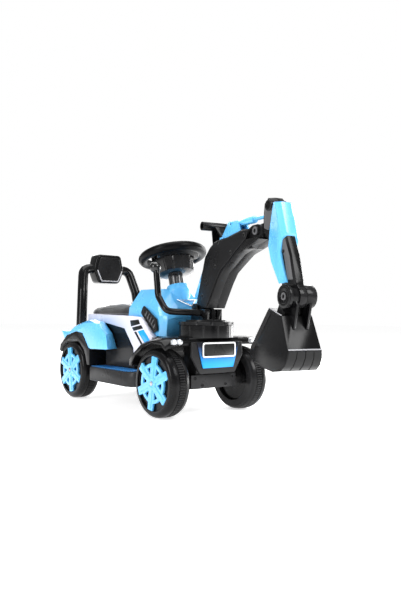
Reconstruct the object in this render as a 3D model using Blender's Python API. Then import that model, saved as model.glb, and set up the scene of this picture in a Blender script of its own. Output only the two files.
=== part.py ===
"""Child's ride-on digger, modelled as a Blender assembly.

Metres, +Z up, forward is -Y and the vehicle's right side is -X. Every part is placed from the front
axle's ground point by a parent empty, which is set back so that the world origin lies on the ground
under the middle of the whole object. The arm is drawn straight ahead under the slew empty, which turns it.
"""

from math import asin, cos, hypot, pi, radians, sin, tan

import bmesh
import bpy
from mathutils import Matrix, Vector

# ---- Driving dimensions (metres) ----
GAP = 0.0003                   # air between pieces that touch
WHEEL_R = 0.090                # tyre radius
WHEELBASE = 0.4706
WHEEL_X = 0.105                # inner face of a tyre from the middle plane
TYRE_W = 0.060
HUB_PROUD = 0.003              # how far the wheel trim stands out of the tyre
AXLE_R = 0.006
KINGPIN_X = 0.090
ORIGIN_SHIFT_Y = -0.0732       # from the middle of the object's length to the front axle

BODY_HALF = 0.088              # half width of the black lower body
WALL = 0.0035                  # moulded wall
SHELL_OUT = 0.1030             # outer face of the white upper shell
DECK_Z = 0.2620

SLEW_Y = -0.015                # slew axis behind the front axle's line is positive
SLEW_REST = radians(-11.9)     # the arm rests turned towards the vehicle's right
DRUM_R = 0.075
DRUM_TOP = 0.2490
COVER_TOP = 0.2160

COLUMN_TILT = radians(15.5)      # steering column leans back
COLUMN_FOOT = Vector((0.0, 0.117, 0.338))
WHEEL_RIM_R = 0.0870
WHEEL_RIM_TUBE = 0.0140
WHEEL_RISE = 0.106             # steering wheel's centre above the column foot, along the column

ARM_HALF = 0.025               # half width of the boom
BOOM_PIVOT = (-0.024, 0.281)   # arm points are (forward, up)
STICK_PIVOT = (0.288, 0.4603)
CRANK = (0.044, 0.0332)        # from a pivot to its push rod pin, on the stick and on the handle
ROD_LENGTH = 0.172
WRIST = (0.4185, 0.3065)
WRIST_R = 0.0250
WRIST_HALF = 0.0335
STICK_HALF = 0.0170             # half width of the black stick, inside its blue cover
COVER_HALF = 0.0225
KNUCKLE_HALF = 0.0088          # half width of the stick's own piece of the wrist barrel
BUCKET_HALF = 0.0475

ROD_FRONT = (STICK_PIVOT[0] + CRANK[0], STICK_PIVOT[1] + CRANK[1])
ROD_REAR = (ROD_FRONT[0] - ROD_LENGTH, ROD_FRONT[1])
HANDLE_PIVOT = (STICK_PIVOT[0] - ROD_LENGTH, STICK_PIVOT[1])

ROUND = 28                     # sides of a large turned piece
SMALL_ROUND = 12               # sides of a pin or a small boss

COLOURS = {
    "sky_plastic": ((0.11, 0.50, 0.90), 0.32, 0.0),
    "bright_plastic": ((0.02, 0.38, 0.90), 0.30, 0.0),
    "black_plastic": ((0.012, 0.012, 0.014), 0.30, 0.0),
    "tyre_plastic": ((0.012, 0.012, 0.013), 0.28, 0.0),
    "white_plastic": ((0.82, 0.82, 0.88), 0.35, 0.0),
    "chrome_trim": ((0.80, 0.80, 0.82), 0.15, 1.0),
    "clear_lens": ((0.85, 0.88, 0.90), 0.10, 0.0),
    "steel": ((0.55, 0.55, 0.57), 0.35, 1.0),
    "battery_case": ((0.05, 0.05, 0.06), 0.50, 0.0),
}


# ---- Scene and materials ----
def clear_scene():
    for thing in list(bpy.data.objects):
        bpy.data.objects.remove(thing, do_unlink=True)


def material(name):
    found = bpy.data.materials.get(name)
    if found:
        return found
    colour, roughness, metallic = COLOURS[name]
    made = bpy.data.materials.new(name)
    made.use_nodes = True
    shader = made.node_tree.nodes["Principled BSDF"]
    shader.inputs["Base Color"].default_value = (*colour, 1)
    shader.inputs["Roughness"].default_value = roughness
    shader.inputs["Metallic"].default_value = metallic
    return made


def empty(name, parent, location=(0, 0, 0), rotation=(0, 0, 0)):
    made = bpy.data.objects.new(name, None)
    bpy.context.scene.collection.objects.link(made)
    made.parent = parent
    made.location = location
    made.rotation_euler = rotation
    return made


def node(name, bm, parent, finish, smooth=False):
    """One object from a bmesh, with its normals facing out."""
    bmesh.ops.recalc_face_normals(bm, faces=bm.faces)
    mesh = bpy.data.meshes.new(name)
    bm.to_mesh(mesh)
    bm.free()
    mesh.materials.append(material(finish))
    if smooth:
        mesh.shade_smooth()
        mesh.set_sharp_from_angle(angle=radians(35))
    made = bpy.data.objects.new(name, mesh)
    bpy.context.scene.collection.objects.link(made)
    made.parent = parent
    return made


def combine(target, bm, operation):
    """A Boolean of the target with a hidden helper made from a bmesh."""
    helper = node(f"{target.name}_{operation.lower()}_{len(target.modifiers)}", bm, target.parent,
        "black_plastic")
    helper.hide_render = True
    helper.display_type = "WIRE"
    step = target.modifiers.new(operation.title(), "BOOLEAN")
    step.operation = operation
    step.object = helper
    return target


def cut(target, bm):
    return combine(target, bm, "DIFFERENCE")


def join(target, bm):
    return combine(target, bm, "UNION")


# ---- Shapes, each returned as a closed bmesh ----
def rings(sections, closed=False):
    """A loft through rings of points; the ends are capped unless the loft closes on itself."""
    bm = bmesh.new()
    rows = [[bm.verts.new(point) for point in section] for section in sections]
    count = len(rows[0])
    last = len(rows) if closed else len(rows) - 1
    for row in range(last):
        here, there = rows[row], rows[(row + 1) % len(rows)]
        for i in range(count):
            j = (i + 1) % count
            bm.faces.new((here[i], here[j], there[j], there[i]))
    if not closed:
        bm.faces.new(rows[0])
        bm.faces.new(rows[-1])
    return bm


def side_prism(outline, x0, x1):
    """An outline of (y, z) points pushed from x0 to x1."""
    return rings([[(x, y, z) for y, z in outline] for x in (x0, x1)])


def arm_prism(outline, x0, x1):
    """An outline of (forward, up) arm points pushed from x0 to x1."""
    return side_prism([(-s, z) for s, z in outline], x0, x1)


def arm_loft(sections):
    """A loft through (x, arm outline) sections."""
    return rings([[(x, -s, z) for s, z in outline] for x, outline in sections])


def front_prism(outline, y0, y1):
    """An outline of (x, z) points pushed from y0 to y1."""
    return rings([[(x, y, z) for x, z in outline] for y in (y0, y1)])


def plan_prism(outline, z0, z1):
    """An outline of (x, y) points pushed from z0 to z1."""
    return rings([[(x, y, z) for x, y in outline] for z in (z0, z1)])


def box(x0, x1, y0, y1, z0, z1):
    return plan_prism([(x0, y0), (x1, y0), (x1, y1), (x0, y1)], z0, z1)


def circle(centre, radius, sides, start=0.0, turn=2 * pi, ends=False):
    steps = sides - 1 if ends else sides
    return [
        (centre[0] + radius * cos(start + turn * i / steps),
            centre[1] + radius * sin(start + turn * i / steps))
        for i in range(sides)
    ]


def turned(profile, sides, axis="Z", centre=(0, 0, 0)):
    """A ring of (radius, height) points, which never meets the axis, turned about it."""
    bm = rings(
        [
            [(r * cos(2 * pi * i / sides), r * sin(2 * pi * i / sides), h) for r, h in profile]
            for i in range(sides)
        ],
        closed=True,
    )
    return moved(bm, axis, centre)


def disc(radius, low, high, sides, axis="Z", centre=(0, 0, 0)):
    """A solid cylinder from low to high along the axis."""
    return moved(plan_prism(circle((0, 0), radius, sides), low, high), axis, centre)


def moved(bm, axis="Z", centre=(0, 0, 0)):
    if axis == "X":
        bmesh.ops.transform(bm, matrix=Matrix.Rotation(pi / 2, 4, "Y"), verts=bm.verts)
    elif axis == "Y":
        bmesh.ops.transform(bm, matrix=Matrix.Rotation(-pi / 2, 4, "X"), verts=bm.verts)
    bmesh.ops.translate(bm, vec=Vector(centre), verts=bm.verts)
    return bm


def tube(path, radius, sides):
    """A round bar along a path of points, mitred at each bend."""
    points = [Vector(p) for p in path]
    sections = []
    side = None
    for i, point in enumerate(points):
        before = (point - points[i - 1]).normalized() if i else None
        after = (points[i + 1] - point).normalized() if i + 1 < len(points) else None
        along = ((before or after) + (after or before)).normalized()
        stretch = 1 / max(0.5, along.dot(after or before))
        side = side or along.orthogonal().normalized()
        side = (side - side.dot(along) * along).normalized()
        other = along.cross(side)
        bend = (after - before) if before and after else Vector((0, 0, 0))
        bend = bend - bend.dot(along) * along
        ring = []
        for k in range(sides):
            offset = radius * (cos(2 * pi * k / sides) * side + sin(2 * pi * k / sides) * other)
            if bend.length > 1e-6:
                out = bend.normalized()
                offset += (stretch - 1) * offset.dot(out) * out
            ring.append(point + offset)
        sections.append(ring)
    return rings(sections)


def fillet(points, radius, steps=4):
    """A path with its inner corners rounded by arcs."""
    made = [Vector(points[0])]
    for before, corner, after in zip(points, points[1:], points[2:]):
        before, corner, after = Vector(before), Vector(corner), Vector(after)
        a, b = (before - corner).normalized(), (after - corner).normalized()
        reach = min(radius / tan(a.angle(b) / 2), 0.49 * (before - corner).length,
            0.49 * (after - corner).length)
        start, end = corner + a * reach, corner + b * reach
        for i in range(steps + 1):
            t = i / steps
            made.append((1 - t) ** 2 * start + 2 * t * (1 - t) * corner + t ** 2 * end)
    return made + [Vector(points[-1])]


def inset(outline, distance):
    """An outline moved inwards; the outline runs counter-clockwise."""
    made = []
    count = len(outline)
    for i in range(count):
        p0, p1, p2 = (Vector(outline[j % count]) for j in (i - 1, i, i + 1))
        d1, d2 = (p1 - p0).normalized(), (p2 - p1).normalized()
        n1, n2 = Vector((-d1.y, d1.x)), Vector((-d2.y, d2.x))
        middle = (n1 + n2).normalized()
        made.append(tuple(p1 + middle * distance / max(0.35, middle.dot(n1))))
    return made


def counter_clockwise(outline):
    area = sum(a[0] * b[1] - b[0] * a[1] for a, b in zip(outline, outline[1:] + outline[:1]))
    return list(outline) if area > 0 else list(reversed(outline))


def tray(outline, open_at, closed_at, wall=WALL):
    """A moulded half shell of a side outline: a rim wall, one closed side and one open side."""
    outer = counter_clockwise(outline)
    inner = inset(outer, wall)
    floor = closed_at - wall if closed_at > open_at else closed_at + wall
    bm = bmesh.new()
    layers = []
    for points, x in ((inner, floor), (inner, open_at), (outer, open_at), (outer, closed_at)):
        layers.append([bm.verts.new((x, y, z)) for y, z in points])
    count = len(outer)
    for here, there in zip(layers, layers[1:]):
        for i in range(count):
            j = (i + 1) % count
            bm.faces.new((here[i], here[j], there[j], there[i]))
    bm.faces.new(layers[0])
    bm.faces.new(layers[-1])
    return bm


# ---- Wheels ----
def tyre_profile():
    """(radius, distance from the inner face) round the hollow-looking moulded tyre."""
    face, bore = TYRE_W, AXLE_R + 0.0005
    shoulder = [(WHEEL_R - 0.0133 * (1 - cos(a)), face - 0.0170 * (1 - sin(a))) for a in (pi / 2, pi / 4,
        0)]
    return [
        (bore, face - 0.006),
        (0.0703, face - 0.006),
        (0.0715, face),
        *shoulder,
        (WHEEL_R, 0.0215),
        (WHEEL_R - 0.0086, 0.0),
        (0.0640, 0.0),
        (0.0560, 0.012),
        (bore, 0.012),
    ]


def trim_mesh(depth):
    """Six broad spokes, a ring and a boss as one plate between z = 0 and z = depth."""
    radii = (AXLE_R + 0.0005, 0.0200, 0.0420, 0.0520, 0.0696)
    half = radians(13)
    angles = []
    for spoke in range(6):
        middle = spoke * pi / 3 + pi / 2
        angles += [middle - half, middle, middle + half, middle + pi / 6]
    bm = bmesh.new()
    grid = [
        [[bm.verts.new((r * cos(a), r * sin(a), z)) for a in angles] for r in radii]
        for z in (0.0, depth)
    ]
    solid = set()
    for step in range(len(angles)):
        on_spoke = step % 4 in (0, 1)
        for band in range(4):
            if on_spoke or band in (0, 2):
                solid.add((band, step))
    count = len(angles)
    for band, step in solid:
        nxt = (step + 1) % count
        for layer in grid:
            bm.faces.new((layer[band][step], layer[band][nxt], layer[band + 1][nxt], layer[band + 1][step]))
        edges = (
            ((band - 1, step), (band, step), (band, nxt)),
            ((band + 1, step), (band + 1, nxt), (band + 1, step)),
            ((band, (step - 1) % count), (band + 1, step), (band, step)),
            ((band, nxt), (band, nxt), (band + 1, nxt)),
        )
        for neighbour, (b0, s0), (b1, s1) in edges:
            if neighbour not in solid:
                bm.faces.new((grid[0][b0][s0], grid[0][b1][s1], grid[1][b1][s1], grid[1][b0][s0]))
    bmesh.ops.delete(bm, geom=[v for v in bm.verts if not v.link_faces], context="VERTS")
    return bm


def wheel(name, side, parent, phase):
    """A tyre and its blue trim, on an empty at the wheel's centre."""
    hub = empty(f"{name}_wheel", parent)
    profile = [(r, side * (WHEEL_X + h)) for r, h in tyre_profile()]
    node(f"tyre_{name}", turned(profile, ROUND, "X"), hub, "tyre_plastic", smooth=True)
    seat_at = WHEEL_X + TYRE_W - 0.006 + GAP
    trim = trim_mesh(0.006 + HUB_PROUD - GAP)
    bmesh.ops.rotate(trim, cent=(0, 0, 0), matrix=Matrix.Rotation(phase, 3, "Z"), verts=trim.verts)
    bmesh.ops.translate(trim, vec=(0, 0, seat_at), verts=trim.verts)
    bmesh.ops.transform(trim, matrix=Matrix.Rotation(side * pi / 2, 4, "Y"), verts=trim.verts)
    node(f"trim_{name}", trim, hub, "sky_plastic")
    return hub


# ---- Chassis and rear body ----
def lower_body(base):
    body = node("lower_body", box(-BODY_HALF, BODY_HALF, 0.118, 0.556, 0.070, 0.200), base, "black_plastic")
    cut(body, box(-BODY_HALF + WALL, BODY_HALF - WALL, 0.118 + WALL, 0.556 - WALL, 0.070 + WALL, 0.230))
    join(body, box(-0.0875, 0.0875, 0.4745, 0.5555, 0.1900, 0.2360))
    cut(body, box(-0.0840, 0.0840, 0.4600, 0.5520, 0.1800, 0.2325))
    cut(body, disc(AXLE_R + 0.0005, -0.12, 0.12, SMALL_ROUND, "X", (0, WHEELBASE, WHEEL_R)))
    return body


def inner_parts(base):
    node("battery", box(-0.048, 0.048, 0.200, 0.272, 0.074, 0.166), base, "battery_case")
    gear = node("drive_unit", box(-0.078, -0.028, 0.400, 0.510, 0.078, 0.150), base, "battery_case")
    join(gear, disc(0.0165, -0.0285, 0.030, 16, "X", (0, 0.420, 0.126)))
    cut(gear, disc(AXLE_R + 0.0003, -0.10, 0.0, SMALL_ROUND, "X", (0, WHEELBASE, WHEEL_R)))
    node("rear_axle", disc(AXLE_R, -0.1690, 0.1690, SMALL_ROUND, "X", (0, WHEELBASE, WHEEL_R)), base,
        "steel", smooth=True)


def upper_shell(base):
    """The white moulding: a deck under the seat and a slanting band down each side."""
    band = [
        (0.474, 0.243), (0.474, 0.269), (0.215, 0.263), (0.154, 0.260), (0.094, 0.205), (0.126, 0.165),
        (0.150, 0.140), (0.189, 0.140), (0.1935, 0.171), (0.2435, 0.2255), (0.361, 0.2415),
    ]
    inner = BODY_HALF + GAP
    shell = node("upper_shell", side_prism(band, inner, SHELL_OUT), base, "white_plastic")
    join(shell, side_prism(band, -SHELL_OUT, -inner))
    join(shell, box(-inner - 0.002, inner + 0.002, 0.2475, 0.474, DECK_Z - 0.006, DECK_Z))
    return shell


def rear_side(base, side, label):
    arch = [(0.3575, 0.1120), (0.3575, 0.1600), (0.3680, 0.1635), (0.4100, 0.2075), (0.4520, 0.2120)]
    arch += [(0.5150, 0.1980), (0.5600, 0.1670), (0.5680, 0.1480)]
    arch += circle((WHEELBASE, WHEEL_R), WHEEL_R + 0.0105, 10, radians(32), radians(135), ends=True)
    panel = [(0.3610, 0.2410), (0.2440, 0.2250), (0.1940, 0.1705), (0.1935, 0.1120), (0.3690, 0.1120),
        (0.3690, 0.1630)]
    panel += [(0.4095, 0.2070), (0.4520, 0.2115), (0.4600, 0.2300)]
    shape = node(f"rear_arch_{label}", side_prism(arch, side * 0.0885, side * 0.1580), base,
        "black_plastic")
    join(shape, side_prism(panel, side * 0.0883, side * 0.0995))
    low = [(0.3570, 0.1615), (0.3670, 0.1645), (0.4095, 0.2085), (0.4520, 0.2130), (0.5155, 0.1990)]
    inner = [(0.5500, 0.1790), (0.5350, 0.2050), (0.4620, 0.2360), (0.4300, 0.2440), (0.3930, 0.2465),
        (0.3660, 0.2450)]
    crown = [(0.5500, 0.1790), (0.5320, 0.2080), (0.4620, 0.2380), (0.4050, 0.2490), (0.3640, 0.2500),
        (0.3310, 0.2450)]
    outer = [(0.5400, 0.1810), (0.5200, 0.2010), (0.4600, 0.2280), (0.4000, 0.2390), (0.3440, 0.2420),
        (0.3060, 0.2390)]
    inner += [(0.3140, 0.2100), (0.2850, 0.1645), *low]
    crown += [(0.2810, 0.2100), (0.2610, 0.1645), *low]
    outer += [(0.2600, 0.2050), (0.2490, 0.1645), *low]
    sections = ((0.1035, inner), (0.1340, crown), (0.1560, outer))
    loft = rings([[(side * x, y, z) for y, z in points] for x, points in sections])
    fender = node(f"rear_fender_{label}", loft, base, "sky_plastic")
    cut(fender, disc(0.0205, 0.2190, 0.2700, 16, "Z", (side * 0.1150, 0.4965, 0)))
    plan = [(0.1000, 0.1090), (0.1350, 0.1150), (0.1500, 0.1270), (0.1585, 0.1480), (0.1585, 0.3560),
        (0.1000, 0.3560)]
    node(f"step_{label}", plan_prism([(side * x, y) for x, y in plan], 0.0660, 0.1080), base,
        "black_plastic")
    plan = [(0.1040, 0.1200), (0.1330, 0.1230), (0.1470, 0.1330), (0.1545, 0.1520), (0.1545, 0.3500),
        (0.1040, 0.3500)]
    node(f"step_mat_{label}", plan_prism([(side * x, y) for x, y in plan], 0.1083, 0.1108), base,
        "sky_plastic")


def rear_end(base):
    tail = [(0.5565, 0.1860), (0.5565, 0.2080), (0.5900, 0.2105), (0.6080, 0.2120), (0.5980, 0.2010),
        (0.5880, 0.1860)]
    node("rear_bumper", side_prism(tail, -0.133, 0.133), base, "sky_plastic")
    foot, knee, corner = (0.1160, 0.4950, 0.2235), (0.1040, 0.5130, 0.3450), (0.0880, 0.5400, 0.4230)
    path = [(-foot[0], *foot[1:]), (-knee[0], *knee[1:]), (-corner[0], *corner[1:]), corner, knee, foot]
    hoop = node("roll_hoop", tube(fillet(path, 0.030, 4), 0.0165, 10), base, "black_plastic", smooth=True)
    pad = [(-0.046, 0.4730), (-0.0585, 0.4200), (-0.040, 0.3740), (0.040, 0.3740), (0.0585, 0.4200),
        (0.046, 0.4730)]
    headrest = node("headrest", front_prism(pad, 0.5150, 0.5680), base, "black_plastic")
    cut(headrest, disc(0.0182, -0.08, 0.08, 12, "X", (0, corner[1], corner[2])))
    cut(headrest, box(-0.07, 0.07, corner[1], 0.6000, 0.4053, 0.4407))
    return hoop


def seat(base):
    """A crowned saddle, narrower towards the hood."""
    rows = []
    shape = ((0.2500, 0.056, 0.012), (0.2650, 0.068, 0.026), (0.3000, 0.078, 0.034), (0.3500, 0.084, 0.037),
             (0.4200, 0.088, 0.038), (0.4650, 0.088, 0.036), (0.4850, 0.080, 0.029), (0.4950, 0.068, 0.015))
    floor = DECK_Z + GAP
    for y, half, crown in shape:
        ring = [(-half, y, floor), (half, y, floor)]
        for i in range(7):
            a = pi * i / 6
            ring.append((half * cos(a), y, floor + 0.004 + (crown * sin(a) ** 0.7 if 0 < i < 6 else 0)))
        rows.append(ring)
    return node("seat", rings(rows), base, "black_plastic", smooth=True)


# ---- Hood and steering ----
def hood_ring(z, half_plan):
    """A closed plan outline at one height, from its points at +X, nose first."""
    right = [(x, y, z) for x, y in half_plan]
    left = [(-x, y, z) for x, y in reversed(half_plan) if x > 1e-6]
    return right + left


def hood(base):
    foot = 0.2460
    rear = [(0.0875, foot), (0, foot)]
    levels = [
        hood_ring(0.2075, [(0, 0.0680), (0.043, 0.0680), (0.0750, 0.0660), (0.0865, 0.0850),
            (0.0875, 0.1600), *rear]),
        hood_ring(0.2530, [(0, 0.0620), (0.042, 0.0640), (0.0750, 0.0620), (0.0868, 0.0840),
            (0.0875, 0.1550), *rear]),
        hood_ring(0.2640, [(0, 0.0470), (0.042, 0.0530), (0.0750, 0.0640), (0.0868, 0.0840),
            (0.0875, 0.1500), *rear]),
        hood_ring(0.2880, [(0, 0.0480), (0.044, 0.0560), (0.0720, 0.0780), (0.0850, 0.0960),
            (0.0895, 0.1500), (0.0880, 0.2400), (0, 0.2400)]),
        hood_ring(0.3070, [(0, 0.0770), (0.042, 0.0800), (0.0620, 0.0960), (0.0750, 0.1120),
            (0.0800, 0.1500), (0.0790, 0.2320), (0, 0.2320)]),
        hood_ring(0.3410, [(0, 0.1080), (0.032, 0.1100), (0.0460, 0.1180), (0.0550, 0.1290),
            (0.0610, 0.1500), (0.0600, 0.2220), (0, 0.2220)]),
    ]
    shell = node("hood", rings(levels), base, "sky_plastic")
    hollow = [
        [(x * 0.94, 0.150 + (y - 0.150) * 0.94, z) for x, y, z in ring] for ring in levels
    ]
    hollow[0] = [(x, y, z - 0.02) for x, y, z in hollow[0]]
    hollow[-1] = [(x, y, z - WALL) for x, y, z in hollow[-1]]
    cut(shell, rings(hollow))
    collar = turned([(0.0150, -0.045), (0.0260, -0.045), (0.0365, -0.008), (0.0370, -0.003),
        (0.0310, 0.0140), (0.0150, 0.0140)], ROUND)
    bmesh.ops.transform(collar, matrix=column_matrix(), verts=collar.verts)
    join(shell, collar)
    through = disc(0.0234, -0.07, 0.05, 20)
    bmesh.ops.transform(through, matrix=column_matrix(), verts=through.verts)
    cut(shell, through)
    for side, label in ((1, "left"), (-1, "right")):
        vent = [(0.1540, 0.2930), (0.1680, 0.2720), (0.1010, 0.2165), (0.0840, 0.2240), (0.0900, 0.2550)]
        sections = [[(side * x, y, z) for y, z in vent] for x in (0.0903, 0.0940)]
        node(f"vent_{label}", rings(sections), base, "black_plastic")
    slope = Matrix.Translation((0, 0.0770, 0.3070)) @ Matrix.Rotation(radians(-56.5), 4, "X")
    rim = front_prism([(-0.0330, 0.0012), (0, -0.0350), (0.0330, 0.0012)], -0.0046, -0.0006)
    opening = front_prism([(-0.0255, -0.0022), (0, -0.0298), (0.0255, -0.0022)], -0.0100, 0.0100)
    for bm in (rim, opening):
        bmesh.ops.transform(bm, matrix=slope, verts=bm.verts)
    trim = node("hood_trim", rim, base, "chrome_trim")
    return cut(trim, opening)


def column_matrix():
    """From the column's own frame, +Z along the shaft, to the body's."""
    return Matrix.Translation(COLUMN_FOOT) @ Matrix.Rotation(-COLUMN_TILT, 4, "X")


def steering(base):
    pivot = empty("steering", base, COLUMN_FOOT, (-COLUMN_TILT, 0, 0))
    rise = WHEEL_RISE
    column = turned([(0.0065, -0.015), (0.0225, -0.015), (0.0225, rise - 0.0625), (0.0065, rise - 0.0625)],
        ROUND)
    node("steering_column", column, pivot, "black_plastic", smooth=True)
    hub = [(0.0065, rise - 0.0620), (0.0370, rise - 0.0620), (0.0500, rise - 0.0530),
        (0.0570, rise - 0.0270), (0.0600, rise - 0.0060)]
    hub += [(0.0600, rise + 0.0100), (0.0300, rise + 0.0160), (0.0220, rise + 0.0160),
        (0.0220, rise - 0.0400), (0.0065, rise - 0.0400)]
    node("steering_hub", turned(hub, ROUND), pivot, "black_plastic", smooth=True)
    sides = 10
    rim_profile = circle((WHEEL_RIM_R, rise), WHEEL_RIM_TUBE, sides)
    rim = node("steering_rim", turned(rim_profile, 36), pivot, "black_plastic", smooth=True)
    for k in range(3):
        spoke = box(0.0604, WHEEL_RIM_R - 0.004, -0.013, 0.013, rise - 0.006, rise + 0.006)
        bmesh.ops.rotate(spoke, cent=(0, 0, 0), matrix=Matrix.Rotation(pi / 2 + 2 * pi * k / 3, 3, "Z"),
            verts=spoke.verts)
        join(rim, spoke)
    shaft = disc(0.0060, -0.2320, rise - 0.0405, SMALL_ROUND)
    node("steering_shaft", shaft, pivot, "steel", smooth=True)
    button = empty("horn", pivot, (0, 0, rise))
    node("horn_button", disc(0.0212, -0.0240, 0.0190, 20), button, "bright_plastic", smooth=True)


# ---- Front end ----
def front_cover(base):
    """One black moulding over both front wheels, with the turret's deck in the middle."""
    outer = [(0.1120, 0.1310), (0.1110, 0.1480), (0.0960, 0.1720), (0.0560, 0.1990),
        (0.0000, COVER_TOP - 0.0040)]
    outer += [(-0.0420, COVER_TOP - 0.0060), (-0.0560, 0.2000), (-0.0570, 0.1880)]
    inner = [(-0.0460, 0.1870), (-0.0400, 0.1930), (0.0040, 0.1960), (0.0460, 0.1830), (0.0820, 0.1600),
        (0.0960, 0.1420), (0.0980, 0.1310)]
    outline = outer + inner
    drop = ((-0.1660, -0.0120), (-0.1480, -0.0030), (-0.1150, 0.0), (0.1150, 0.0), (0.1480, -0.0030),
        (0.1660, -0.0120))
    sections = []
    for x, lower in drop:
        sections.append([(x, y, z + (lower if z > 0.150 and i < len(outer) else lower * 0.2)) for i,
            (y, z) in enumerate(outline)])
    cover = node("front_cover", rings(sections), base, "black_plastic")
    join(cover, box(-0.086, 0.086, -0.0520, 0.0620, 0.1970, COVER_TOP - 0.0110 + 0.002))
    cut(cover, disc(0.0742, 0.2070, 0.2600, 36, "Z", (0, SLEW_Y, 0)))
    cut(cover, disc(0.0105, 0.150, 0.260, 16, "Z", (0, SLEW_Y, 0)))
    shaft_way = disc(0.0125, -0.250, -0.050, 16)
    bmesh.ops.transform(shaft_way, matrix=column_matrix(), verts=shaft_way.verts)
    cut(cover, shaft_way)
    fascia = [(-0.0860, 0.1964), (-0.0870, 0.1600), (-0.0600, 0.1130), (0.0600, 0.1130), (0.0870, 0.1600),
        (0.0860, 0.1964)]
    node("front_fascia", front_prism(fascia, -0.0655, -0.0573), base, "black_plastic")
    panel = [(-0.0730, 0.1955), (-0.0520, 0.1280), (0.0520, 0.1280), (0.0730, 0.1955)]
    node("front_panel", front_prism(panel, -0.0688, -0.0658), base, "bright_plastic")
    plate = [(-0.0575, 0.1620), (-0.0510, 0.1550), (0.0510, 0.1550), (0.0575, 0.1620), (0.0575, 0.1895),
        (0.0510, 0.1960)]
    plate += [(-0.0510, 0.1960), (-0.0575, 0.1895)]
    node("blank_plate", front_prism(plate, -0.0716, -0.0691), base, "black_plastic")
    beam = node("axle_beam", box(-0.0770, 0.0770, -0.0500, 0.0200, 0.0730, 0.1090), base, "black_plastic")
    for side in (1, -1):
        for low in (0.0730, 0.1030):
            join(beam, box(*sorted((side * 0.0700, side * 0.0985)), -0.0100, 0.0100, low, low + 0.0060))
        join(beam, disc(0.0040, 0.0740, 0.1050, SMALL_ROUND, "Z", (side * KINGPIN_X, 0, 0)))
    mount = node("beam_bracket", box(-0.0560, 0.0560, -0.0440, 0.0100, 0.1094, 0.1866), base,
        "black_plastic")
    cut(mount, box(-0.0520, 0.0520, -0.0400, 0.0300, 0.1134, 0.1830))
    cut(mount, disc(0.0140, 0.170, 0.230, 16, "Z", (0, SLEW_Y, 0)))
    for side, label in ((1, "left"), (-1, "right")):
        lamps = node(f"headlamp_{label}", front_prism(lamp_base(side), -0.0610, -0.0575), base,
            "clear_lens")
        for shift in (-0.0085, 0.0085):
            dome = rings([[(r * cos(a), -y,
                r * sin(a)) for a in (2 * pi * k / 12 for k in range(12))] for r, y in LAMP_RINGS])
            bmesh.ops.translate(dome, vec=(side * 0.1330 + shift, -0.0590, 0.1975), verts=dome.verts)
            join(lamps, dome)


def lamp_base(side):
    """The (x, z) outline that carries one side's pair of lamps."""
    return [(side * 0.1330 + x, 0.1975 + z) for x,
        z in ((-0.0160, -0.0050), (0.0160, -0.0050), (0.0160, 0.0050), (-0.0160, 0.0050))]


def front_axle(base):
    for side, label, phase in ((1, "left", 0.131), (-1, "right", -0.131)):
        king = empty(f"kingpin_{label}", base, (side * KINGPIN_X, 0, WHEEL_R))
        arm = node(f"knuckle_{label}", box(-0.0080, 0.0080, -0.0100, 0.0100, -0.0107, 0.0127), king,
            "steel")
        join(arm, disc(AXLE_R, *sorted((0.0, side * 0.0790)), SMALL_ROUND, "X"))
        join(arm, box(-0.0050, 0.0050, 0.0080, 0.0410, -0.0030, 0.0030))
        join(arm, disc(0.0025, -0.0020, 0.0120, 10, "Z", (0, 0.0350, 0)))
        cut(arm, disc(0.0043, -0.05, 0.05, SMALL_ROUND))
        turn = empty(f"spin_{label}", king, (-side * KINGPIN_X, 0, 0))
        wheel(f"front_{label}", side, turn, phase)
    bar = empty("tie", base, (0, 0, WHEEL_R))
    rod = node("tie_rod", box(-0.0970, 0.0970, 0.0260, 0.0430, 0.0036, 0.0076), bar, "steel")
    for side in (1, -1):
        cut(rod, box(side * KINGPIN_X - 0.0030, side * KINGPIN_X + 0.0030, 0.0300, 0.0388, -0.01, 0.02))


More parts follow.
